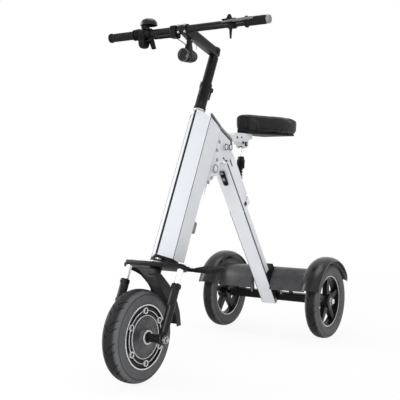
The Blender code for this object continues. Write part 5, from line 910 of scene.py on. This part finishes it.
def moulded(name, node_name, body, voxel, passes):
    """A copy of a solid with soft moulded edges: remeshed evenly, then smoothed."""
    piece = copy_of(node_name, name)
    remesh = piece.modifiers.new("remesh", "REMESH")
    remesh.mode = "VOXEL"
    remesh.voxel_size = voxel
    smooth = piece.modifiers.new("smooth", "SMOOTH")
    smooth.factor = 0.8
    smooth.iterations = passes
    return finish_piece(apply_changes(piece), body, CONTROL_BLACK, (node_name,), None, 60.0)


# The throttle's pod is drawn in towards its foot, so that it ends in a rounded lobe.
TO_BAR_FRAME = BAR_FRAME.inverted()
POD_MIDDLE, POD_TOP, POD_FOOT, POD_LIFT = -0.150, -0.018, -0.048, 0.16
POD_NARROWING, POD_ROUNDING, POD_LEAST_DEPTH = 0.80, 2.4, 0.35
throttle = moulded("throttle_moulding", "throttle_housing", "stem", 0.0011, 40)
for point in throttle.data.vertices:
    spot = TO_BAR_FRAME @ point.co
    share = min(1.0, max(0.0, (POD_TOP - spot.z) / (POD_TOP - POD_FOOT)))
    if share > 0.0:
        narrow = math.sqrt(max(0.0, 1.0 - POD_NARROWING * share ** POD_ROUNDING))
        spot.x = POD_MIDDLE + (spot.x - POD_MIDDLE) * narrow
        spot.y *= POD_LEAST_DEPTH + (1.0 - POD_LEAST_DEPTH) * narrow
        spot.z = POD_TOP + (spot.z - POD_TOP) * (1.0 - POD_LIFT * share)
        point.co = BAR_FRAME @ spot
moulded("thumb_paddle", "throttle_lever", "throttle_lever_body", 0.0009, 40)
moulded("perch_moulding", "brake_perch", "stem", 0.0010, 8)
moulded("junction_moulding", "junction_box", "stem", 0.0011, 24)
pushed("perch_fin", "stem", CONTROL_BLACK, [
    (0.133, 0.0085), (0.1425, 0.015), (0.149, 0.0262), (0.153, 0.0275), (0.1565, 0.019), (0.161, 0.0085),
], "y", -0.006, 0.006, 0.0018, BAR_FRAME, segments=3)
dress("power_button", LEVER_GREY, 0.0005, 3)
dress("brake_lever", LEVER_GREY, 0.0014, 3)
dress("control_cable", CONTROL_BLACK, 0.0)
for index in range(5):
    along = -0.1745 + 0.0022 * index
    turned(f"throttle_rib_{index}", "stem", CONTROL_BLACK, [
        (0.0166, along), (0.0173, along + 0.0003), (0.0175, along + 0.0007), (0.0173, along + 0.0011),
        (0.0166, along + 0.0014),
    ], BAR_FRAME, steps=56)
turned("bell_dome", "stem", BELL_BLACK, [
    (0.0, 0.0451), (0.006, 0.045), (0.012, 0.0441), (0.0175, 0.042), (0.0218, 0.0383), (0.0245, 0.0335),
    (0.0256, 0.029), (0.026, 0.0262), (0.026, 0.0244), (0.0252, 0.024), (0.0244, 0.0246), (0.0238, 0.029),
    (0.0222, 0.034), (0.018, 0.0395), (0.01, 0.0428), (0.0, 0.0436),
], BAR_FRAME, at=(-0.131, 0.0, 0.0), axis="z", steps=72, stands_for=("bell",))
turned("bell_stalk", "stem", CONTROL_BLACK, [
    (0.0, 0.0172), (0.0125, 0.0172), (0.013, 0.018), (0.013, 0.024), (0.0105, 0.0262), (0.0098, 0.035),
    (0.0, 0.035),
], BAR_FRAME, at=(-0.144, 0.0, 0.0), axis="z", steps=32)
turned("bell_nut", "stem", ZINC, [
    (0.0, 0.0446), (0.0034, 0.0446), (0.0034, 0.0454), (0.0026, 0.0458), (0.0, 0.0459),
], BAR_FRAME, at=(-0.131, 0.0, 0.0), axis="z", steps=24)

# The spiral wrap fills the box of its solid, and follows the cable's slope.
CURLS, CURL_STEPS, WRAP_WIRE = 17, 16, 0.0011
wrap_low, wrap_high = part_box("cable_wrap")
wrap_middle = (wrap_low + wrap_high) / 2
wrap_half = (wrap_high - wrap_low) / 2
wrap_radius = wrap_half.y - WRAP_WIRE
wrap_points = []
for index in range(CURLS * CURL_STEPS + 1):
    share = 2 * index / (CURLS * CURL_STEPS) - 1
    turn = 2 * math.pi * index / CURL_STEPS
    wrap_points.append(wrap_middle + Vector((
        (wrap_half.x - WRAP_WIRE) * share,
        wrap_radius * math.cos(turn),
        (wrap_half.z - WRAP_WIRE - wrap_radius) * share + wrap_radius * math.sin(turn))))
wrap = tube_along("cable_wrap_spiral", wrap_points, WRAP_WIRE)
finish_piece(wrap, "stem", CONTROL_BLACK, ("cable_wrap",))


# Headlight: a turned black shell with cooling grooves, a bright bezel round a dark domed lens, and a
# yoke under the stem. Two thin leads run to it, and the grey one is a painted highlight.
INLAY_GREY = surface("inlay_grey", (0.2, 0.2, 0.205), (0.28, 0.28, 0.285), 0.4, 0.1, relief=0.1)
LENS_DARK = surface("lens_dark", (0.006, 0.006, 0.007), (0.014, 0.014, 0.016), 0.06, 0.04, scale=220,
                    grain=500, relief=0.1, coat=0.1, coat_roughness=0.03, specular=0.22)
LAMP_BLACK = cool_tone("lamp_black", 0.0055, 0.01, 0.32, grain=1100, relief=0.12, specular=0.22)
LAMP_FRAME = BAR_FRAME @ Matrix.Translation((0.0, -0.010, -0.075))
dress("headlight_shell", LAMP_BLACK, 0.0010, 3)
dress("headlight_lens", LENS_DARK)
turned("headlight_bezel", "headlight", LEVER_GREY, [
    (0.0168, 0.0014), (0.0168, -0.0002), (0.0172, -0.0008), (0.0188, -0.0008), (0.0194, -0.0002),
    (0.0197, 0.0014), (0.0197, 0.0034), (0.019, 0.0036),
], LAMP_FRAME, axis="y", steps=72)
for index, along in enumerate((0.0090, 0.0135, 0.0180)):
    turned(f"headlight_fin_{index}", "headlight", LAMP_BLACK, [
        (0.019, along), (0.0198, along + 0.0003), (0.0198, along + 0.0021), (0.019, along + 0.0024),
    ], LAMP_FRAME, axis="y", steps=64)
for index, radius in enumerate((0.0050, 0.0092, 0.0132)):
    turned(f"lens_ripple_{index}", "headlight", LENS_DARK, [
        (radius - 0.0005, -0.0012), (radius - 0.0003, -0.0027), (radius + 0.0003, -0.0027),
        (radius + 0.0005, -0.0012),
    ], LAMP_FRAME, at=(0.0, 0.0004 * index * index, 0.0), axis="y", steps=48)
for name, body, slot, finish, radius, points in (
    ("lamp_lead", "stem", "black_rubber", CONTROL_BLACK, 0.0013, [
        (-0.0260, -0.1870, 0.9665), (-0.0200, -0.1905, 0.9612), (-0.0125, -0.1900, 0.9562),
        (-0.0080, -0.1830, 0.9520), (-0.0066, -0.1710, 0.9480), (-0.0060, -0.1600, 0.9435)]),
    # Painted highlight: this light grey lead stands in for the bright line of highlight along a cable loop
    # above the lamp.
    ("highlight_lead", "headlight", "grey_plastic", INLAY_GREY, 0.0010, [
        (0.0142, -0.1600, 0.9570), (0.0146, -0.1480, 0.9515), (0.0140, -0.1370, 0.9455),
        (0.0120, -0.1300, 0.9390), (0.0090, -0.1290, 0.9330)]),
):
    finish_piece(tube_along(name, smooth_line(points), radius), body, finish)


# Saddle: charcoal vinyl pulled tight over foam on a moulded pan, boxy with a narrow raised nose, piped
# round its upper and lower edges. The pan is screwed to a silver arm that pivots in the bracket.
VINYL = cool_tone("charcoal_vinyl", 0.0065, 0.0105, 0.36, 0.1, scale=26, grain=950, pebbles=0.85,
                  relief=0.22, specular=0.15)
PAN_BLACK = cool_tone("pan_black", 0.003, 0.0055, 0.48, grain=900, relief=0.16, specular=0.12)
SEAT_FRAME = Matrix.Translation((0.0, -0.00844, 0.64705))
SADDLE_SHRINK = (0.972, 0.986, 0.955, 1.0)
UNDERSIDE_DROP = 0.0062
PUFF_FRAMES, PUFF_MOST = 20, 0.0045
PIPING_RADIUS, PIPING_SUNK, PIPING_POINTS = 0.0011, 0.0004, 180
UPPER_PIPING, LOWER_PIPING = 0.0105, 0.0120
saddle_low, saddle_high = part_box("seat_cushion")
saddle_middle = (saddle_low + saddle_high) / 2
puff_low = saddle_low + Vector((0.0002, 0.0002, -0.0058))
puff_high = saddle_high - Vector((0.0002, 0.0002, 0.0002))


def puff_up(piece):
    """Lets cloth pressure fill the cover, by a few millimetres at most and inside its box."""
    before = [point.co.copy() for point in piece.data.vertices]
    puff = piece.modifiers.new("puff", "CLOTH")
    puff.settings.use_pressure = True
    puff.settings.uniform_pressure_force = 4.0
    puff.settings.tension_stiffness = puff.settings.compression_stiffness = 18.0
    puff.settings.bending_stiffness = 0.8
    puff.settings.effector_weights.gravity = 0.0
    puff.collision_settings.use_collision = False
    for number in range(1, PUFF_FRAMES + 1):
        bpy.context.scene.frame_set(number)
    shaped = piece.evaluated_get(bpy.context.evaluated_depsgraph_get())
    moved = [point.co.copy() for point in shaped.data.vertices]
    piece.modifiers.remove(puff)
    bpy.context.scene.frame_set(1)
    for point, start, end in zip(piece.data.vertices, before, moved):
        step = end - start
        if step.length > PUFF_MOST:
            step *= PUFF_MOST / step.length
        place = start + step
        point.co = [min(max(place[axis], puff_low[axis]), puff_high[axis]) for axis in range(3)]


def cushion_cover():
    """The saddle's solid, remeshed, puffed a little by cloth pressure and smoothed."""
    piece = copy_of("seat_cushion", "saddle_cover")
    to_middle = Matrix.Translation(saddle_middle)
    piece.data.transform(to_middle @ Matrix.Diagonal(SADDLE_SHRINK) @ to_middle.inverted())
    for point in piece.data.vertices:
        below = (saddle_middle.z - point.co.z) / (saddle_middle.z - saddle_low.z)
        point.co.z -= UNDERSIDE_DROP * min(1.0, max(0.0, below))
    remesh = piece.modifiers.new("remesh", "REMESH")
    remesh.mode = "VOXEL"
    remesh.voxel_size = 0.0040
    apply_changes(piece)
    puff_up(piece)
    smooth = piece.modifiers.new("smooth", "SMOOTH")
    smooth.factor = 0.5
    smooth.iterations = 2
    finer = piece.modifiers.new("finer", "SUBSURF")
    finer.levels = finer.render_levels = 1
    return apply_changes(piece)


def piping_line(piece, height):
    """Points round the cover at one height, found by looking in from outside, and sunk in a little."""
    tree = BVHTree.FromObject(piece, bpy.context.evaluated_depsgraph_get())
    line = []
    for index in range(PIPING_POINTS):
        turn = 2 * math.pi * index / PIPING_POINTS
        way = Vector((0.55 * math.cos(turn), math.sin(turn), 0.0))
        start = Vector((saddle_middle.x, saddle_middle.y, height)) + way * 0.6
        hit = tree.ray_cast(start, -way.normalized())[0]
        if hit is not None:
            line.append(hit - way.normalized() * PIPING_SUNK)
    return line


cover = cushion_cover()
piping_lines = [piping_line(cover, height)
                for height in (saddle_high.z - UPPER_PIPING, saddle_low.z + LOWER_PIPING)]
finish_piece(cover, "seat", VINYL, ("seat_cushion",), None, 60.0)
for name, line in zip(("saddle_piping_upper", "saddle_piping_lower"), piping_lines):
    finish_piece(tube_along(name, line, PIPING_RADIUS, True), "seat", PAN_BLACK)
dress("seat_pan", PAN_BLACK, 0.0010)
dress("seat_arm", SILVER, 0.0012, 3, 24.0)
for side, label in SIDES:
    for name, back, up, radius, inner, outer, finish, slot in (
        ("arm_hole_front", 0.1150, 0.0350, 0.0046, 0.0146, 0.0154, RIM_BLACK, "black_plastic"),
        ("arm_hole_rear", 0.1440, 0.0360, 0.0040, 0.0146, 0.0154, RIM_BLACK, "black_plastic"),
        ("shock_eye_head", 0.1710, 0.0150, 0.0078, 0.0151, 0.0190, BLACK_STEEL, "black_metal"),
        ("shock_eye_stud", 0.1710, 0.0150, 0.0040, 0.0180, 0.0206, ZINC, "steel"),
        ("arm_clamp_head", 0.1520, 0.0190, 0.0048, 0.0151, 0.0176, BLACK_STEEL, "black_metal"),
    ):
        turned(f"{name}_{label}", "seat", finish, [
            (0.0, inner), (radius, inner), (radius, outer - 0.0006),
            (radius - 0.0006, outer), (0.0, outer),
        ], SEAT_FRAME, at=(0.0, back, up), side=side, steps=28)


# Shock absorber: a damper with a bright neck, a ribbed black body and a coil spring over its tube.
# Its upper eye is bolted in the seat arm, and its lower pin sits in the leg's hook.
HOOK_PLACE = Matrix.Translation((0.0, 0.13849, 0.46595))
SHOCK_FRAME = HOOK_PLACE @ Matrix.Rotation(math.radians(-6.998), 4, "X")
dress("shock_body", BLACK_STEEL, 0.0006)
dress("shock_rod", CHROME, 0.0002)
turned("shock_neck", "shock_upper", CHROME, [
    (0.005, 0.1558), (0.0056, 0.156), (0.0056, 0.1862), (0.005, 0.1866),
], SHOCK_FRAME, axis="z", steps=32)
turned("shock_cap", "shock_upper", ZINC, [
    (0.0098, 0.146), (0.0106, 0.1464), (0.0106, 0.154), (0.0098, 0.1556), (0.006, 0.1572),
    (0.0052, 0.1572), (0.0052, 0.1556), (0.009, 0.1548),
], SHOCK_FRAME, axis="z", steps=40)
for index in range(6):
    foot = 0.1192 + 0.0043 * index
    turned(f"shock_rib_{index}", "shock_upper", CONTROL_BLACK, [
        (0.0126, foot), (0.0138, foot + 0.0005), (0.0138, foot + 0.0023), (0.0126, foot + 0.0028),
    ], SHOCK_FRAME, axis="z", steps=40)
coil = copy_of("shock_spring", "coil_spring")
finish_piece(coil, "shock_upper", BLACK_STEEL, ("shock_spring",))
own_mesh(coil)


# Rear leg: a silver extrusion with a dark channel down each forward corner, pinned in a folding head.
# A latch with grey inlays lies flush on its forward face.
LEG_FRAME = Matrix.Translation((0.0, -0.07053, 0.57998)) @ Matrix.Rotation(math.radians(34.572), 4, "X")
CHANNEL_DARK = surface("channel_dark", (0.06, 0.062, 0.066), (0.085, 0.087, 0.091), 0.45, 0.1, relief=0.08)
# Painted light: the leg's silver is a lighter copy of the case's satin silver, for the stronger light on the
# leg's forward face.
LEG_SILVER_LIT = surface("leg_silver_lit", (0.765, 0.775, 0.8), (0.735, 0.745, 0.77), 0.36, 0.07, metallic=0.1,
                     scale=14, grain=2600, pebbles=0.0, relief=0.05, coat=0.2, coat_roughness=0.3)
dress("rear_leg", LEG_SILVER_LIT, 0.0)
dress("leg_head", LEG_SILVER_LIT, 0.0010, 2, 24.0)
for side, label in SIDES:
    for name, foot, head in (("leg_channel", -0.6330, -0.2295), ("head_channel", -0.2275, -0.0400)):
        boxed(f"{name}_{label}", "rear_leg_body", CHANNEL_DARK,
              (side * 0.0262, 0.084, foot), (side * 0.0274, 0.0905, head), 0.0004, LEG_FRAME)
    boxed(f"head_slot_{label}", "rear_leg_body", RIM_BLACK,
          (side * 0.0266, 0.1046, -0.064), (side * 0.0274, 0.11, -0.0385), 0.0008, LEG_FRAME)
    # Painted shadow: a thin black plate on each side of the leg head, under the bracket plate's lower edge,
    # for the shade in the gap there.
    pushed(f"head_edge_shadow_{label}", "rear_leg_body", RIM_BLACK, [
        (0.0784, -0.0094), (0.0916, -0.033), (0.0872, -0.0358), (0.0738, -0.0126),
    ], "x", side * 0.0266, side * 0.0275, 0.0002, LEG_FRAME)
    turned(f"hook_pin_head_{label}", "shock_lower", BLACK_STEEL, [
        (0.0, 0.0274), (0.0066, 0.0274), (0.0066, 0.029), (0.006, 0.0296),
        (0.0036, 0.0296), (0.0034, 0.03), (0.0, 0.03),
    ], HOOK_PLACE, side=side, steps=32)
latch_side = [(0.0084, -0.0662), (0.0084, -0.1130)]
for index in range(1, 9):
    turn = math.radians(90 * index / 8)
    latch_side.append((0.0012 + 0.0072 * math.cos(turn), -0.1130 - 0.0072 * math.sin(turn)))
latch_side += [(-across, up) for across, up in reversed(latch_side)]
pushed("leg_latch", "leg_lock_body", CONTROL_BLACK, latch_side, "y", 0.0772, 0.0833, 0.0013,
       LEG_FRAME, segments=3, stands_for=("leg_lock_lever",))
for name, foot, head, half in (("latch_inlay_top", -0.0750, -0.0670, 0.0062),
                               ("latch_inlay_middle", -0.1010, -0.0890, 0.0052)):
    boxed(name, "leg_lock_body", INLAY_GREY,
          (-half, 0.0767, foot), (half, 0.0776, head), 0.0003, LEG_FRAME)


# Rear carrier: a black painted casting that grips the leg's foot, with the beam and stub axles for the
# wheels. Bright domed nuts close the axles, and grey struts hold the fairing.
AXLE_FRAME = Matrix.Translation((0.0, REAR_AXLE_Y, WHEEL_RADIUS))
CARRIER_BLACK = cool_tone("carrier_black", 0.003, 0.006, 0.4, 0.14, grain=850, relief=0.24, specular=0.11)
HUB_BRIGHT = surface("hub_bright", (0.72, 0.72, 0.73), (0.60, 0.60, 0.61), 0.24, 0.14, metallic=0.9,
                     scale=120, relief=0.04)
SOCKET_RIM, SOCKET_KEEP = -0.502, 0.25


def lower_socket(spot):
    """The socket's rim stands only a little above the leg's foot."""
    if spot.z > SOCKET_RIM:
        spot.z = SOCKET_RIM + (spot.z - SOCKET_RIM) * SOCKET_KEEP
    return spot


carrier = reshaped("carrier_casting", "axle_carrier", LEG_FRAME, lower_socket, 0.0018, 30.0)
finish_piece(carrier, "rear_leg_body", CARRIER_BLACK, ("axle_carrier",))
for side, label in SIDES:
    wheel_low, wheel_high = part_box(f"rear_wheel_{label}")
    outer_face = max(abs(wheel_low.x), abs(wheel_high.x)) + 0.0005
    turned(f"axle_dome_{label}", "rear_leg_body", HUB_BRIGHT, [
        (0.0062, outer_face), (0.0118, outer_face), (0.0118, outer_face + 0.0016),
        (0.0098, outer_face + 0.0022), (0.0096, 0.2296), (0.008, 0.2316),
        (0.004, 0.2326), (0.0, 0.2328), (0.0, 0.2302), (0.0062, 0.2302),
    ], AXLE_FRAME, side=side, steps=40)
    for index, across in enumerate((0.058, 0.076)):
        turned(f"fairing_strut_{index}_{label}", "rear_leg_body", CHANNEL_GREY, [
            (0.0, 0.0175), (0.0034, 0.0175), (0.0034, 0.0975), (0.0, 0.0975),
        ], AXLE_FRAME, at=(side * across, -0.052 + 0.03 * index, 0.0), axis="z", steps=20)


# Rear fairing and fenders: satin black mouldings over the beam and the wheels. The fairing is one
# bulged skin with a gap for the leg, and each fender is a rounded arch with a small bead on its outer edge.
# The bead's grey is a painted highlight along that edge.
# Painted light: the fairing's black is lighter than the fenders', for the light on its bulged upper face.
FAIRING_BLACK_LIT = cool_tone("fairing_black_lit", 0.04, 0.052, 0.27, 0.08, grain=1500, relief=0.05, coat=0.08,
                          coat_roughness=0.22, specular=0.26)
FENDER_BLACK = cool_tone("fender_black", 0.009, 0.015, 0.2, 0.08, grain=1500, relief=0.05, coat=0.08,
                         coat_roughness=0.18, specular=0.26)
# Painted highlight: the bead's grey stands in for the highlight along the fender's outer edge.
BEAD_PAINTED_HIGHLIGHT = surface("bead_painted_highlight", (0.085, 0.085, 0.088), (0.115, 0.115, 0.118), 0.36, 0.1, relief=0.08)


def shell_outline(line, wall):
    """A line and its copy one wall thickness to its right, as one closed outline."""
    inner = []
    for index, point in enumerate(line):
        ahead = line[min(index + 1, len(line) - 1)] - line[max(index - 1, 0)]
        inner.append(point + Vector((-ahead.y, ahead.x)).normalized() * wall)
    return [tuple(point) for point in line] + [tuple(point) for point in reversed(inner)]


skin = smooth_line([(0.012, 0.094), (-0.012, 0.105), (-0.040, 0.111), (-0.066, 0.104), (-0.088, 0.080),
                    (-0.104, 0.040)])
fairing = push_outline("fairing_shell", shell_outline(skin, 0.003), "x", -0.1676, 0.1676, 0.0008, 2, 50.0)
gap_box = block_piece("leg_gap", (-0.037, -0.2, -0.02), (0.037, -0.046, 0.2))
gap_cut = fairing.modifiers.new("leg_gap", "BOOLEAN")
gap_cut.solver = "EXACT"
gap_cut.operation = "DIFFERENCE"
gap_cut.object = gap_box
apply_changes(fairing)
bpy.data.objects.remove(gap_box)
finish_piece(fairing, "rear_leg_body", FAIRING_BLACK_LIT, ("rear_fairing",), AXLE_FRAME)
ARCH_START, ARCH_END, ARCH_HALF = math.radians(23.0), math.radians(160.0), 0.033
ARCH_TAPER_OVER, ARCH_TAPER = math.radians(16.0), 0.16
ARCH_CROWN, ARCH_FALL, ARCH_ROUNDING = 0.1510, 0.0108, 2.7
ARCH_INNER_CROWN, ARCH_INNER_FALL, ARCH_WALL = 0.1484, 0.0092, 0.0028


def arch_part(name, outline, start, end):
    """Sweeps an outline of (radius, across) points over the wheel, caps it and tapers its rear end."""
    spots = [(across, radius * math.cos(start), radius * math.sin(start)) for radius, across in outline]
    piece = new_piece(name, spots, [(index, (index + 1) % len(spots)) for index in range(len(spots))])
    edit_all()
    bpy.ops.mesh.edge_face_add()
    bpy.ops.mesh.spin(steps=64, angle=start - end, center=(0.0, 0.0, 0.0), axis=(1.0, 0.0, 0.0))
    bpy.ops.object.mode_set(mode="OBJECT")
    for point in close_up(piece).data.vertices:
        angle = math.atan2(point.co.z, point.co.y)
        share = max(0.0, 1 - (angle - ARCH_START) / ARCH_TAPER_OVER)
        point.co.x *= 1 - ARCH_TAPER * share * share
    return piece


ARCH_STEPS = [index / 10 - 1 for index in range(21)]
arch = [(ARCH_CROWN - ARCH_FALL * abs(share) ** ARCH_ROUNDING, ARCH_HALF * share) for share in ARCH_STEPS]
arch += [(0.1384, ARCH_HALF), (0.1376, ARCH_HALF - 0.0006), (0.1376, ARCH_HALF - 0.0018)]
arch += [(ARCH_INNER_CROWN - ARCH_INNER_FALL * abs(share) ** ARCH_ROUNDING, (ARCH_HALF - ARCH_WALL) * share)
         for share in reversed(ARCH_STEPS)]
arch += [(0.1376, 0.0018 - ARCH_HALF), (0.1376, 0.0006 - ARCH_HALF), (0.1384, -ARCH_HALF)]
for side, label in SIDES:
    arch_place = AXLE_FRAME @ Matrix.Translation((side * REAR_TRACK_HALF, 0.0, 0.0))
    fender = arch_part(f"fender_arch_{label}", arch, ARCH_START, ARCH_END)
    bead = arch_part(f"fender_bead_{label}", [
        (0.1372, side * 0.0318), (0.1400, side * 0.0318), (0.1404, side * 0.0326), (0.1398, side * 0.0332),
        (0.1374, side * 0.0332),
    ], ARCH_START + 0.01, ARCH_END - 0.01)
    finish_piece(fender, "rear_leg_body", FENDER_BLACK, (f"fender_{label}",), arch_place,
                 32.0)
    finish_piece(bead, "rear_leg_body", BEAD_PAINTED_HIGHLIGHT, (), arch_place)


# Foot pegs: moulded rubber wings on a hinge in front of the base. Seven raised ribs on each of them
# hold the shoe.
PEG_RUBBER = cool_tone("peg_rubber", 0.005, 0.009, 0.6, 0.14, grain=1200, relief=0.28, specular=0.14)
PEG_FRAME = Matrix.Translation((0.0, -0.254498, 0.295))
for side, label in SIDES:
    dress(f"peg_{label}", PEG_RUBBER, 0.0014, 2)
    for index in range(7):
        across = side * (0.1000 + 0.0080 * index)
        boxed(f"peg_rib_{index}_{label}", f"peg_{label}_body", PEG_RUBBER,
              (across - 0.0012, -0.01, 0.0068), (across + 0.0012, 0.05, 0.0083), 0.0005, PEG_FRAME)


# Inside the case: the battery in its blue shrink wrap, and the motor's controller above it.
# The case hides both of them.
WRAP_BLUE = surface("battery_blue", (0.035, 0.075, 0.22), (0.05, 0.095, 0.27), 0.32, grain=500, relief=0.15)
CONTROLLER_GREY = surface("controller_grey", (0.22, 0.22, 0.23), (0.29, 0.29, 0.3), 0.42, 0.14,
                          metallic=0.5, relief=0.2)
dress("battery_pack", WRAP_BLUE, 0.0010)
dress("motor_controller", CONTROLLER_GREY, 0.0010)
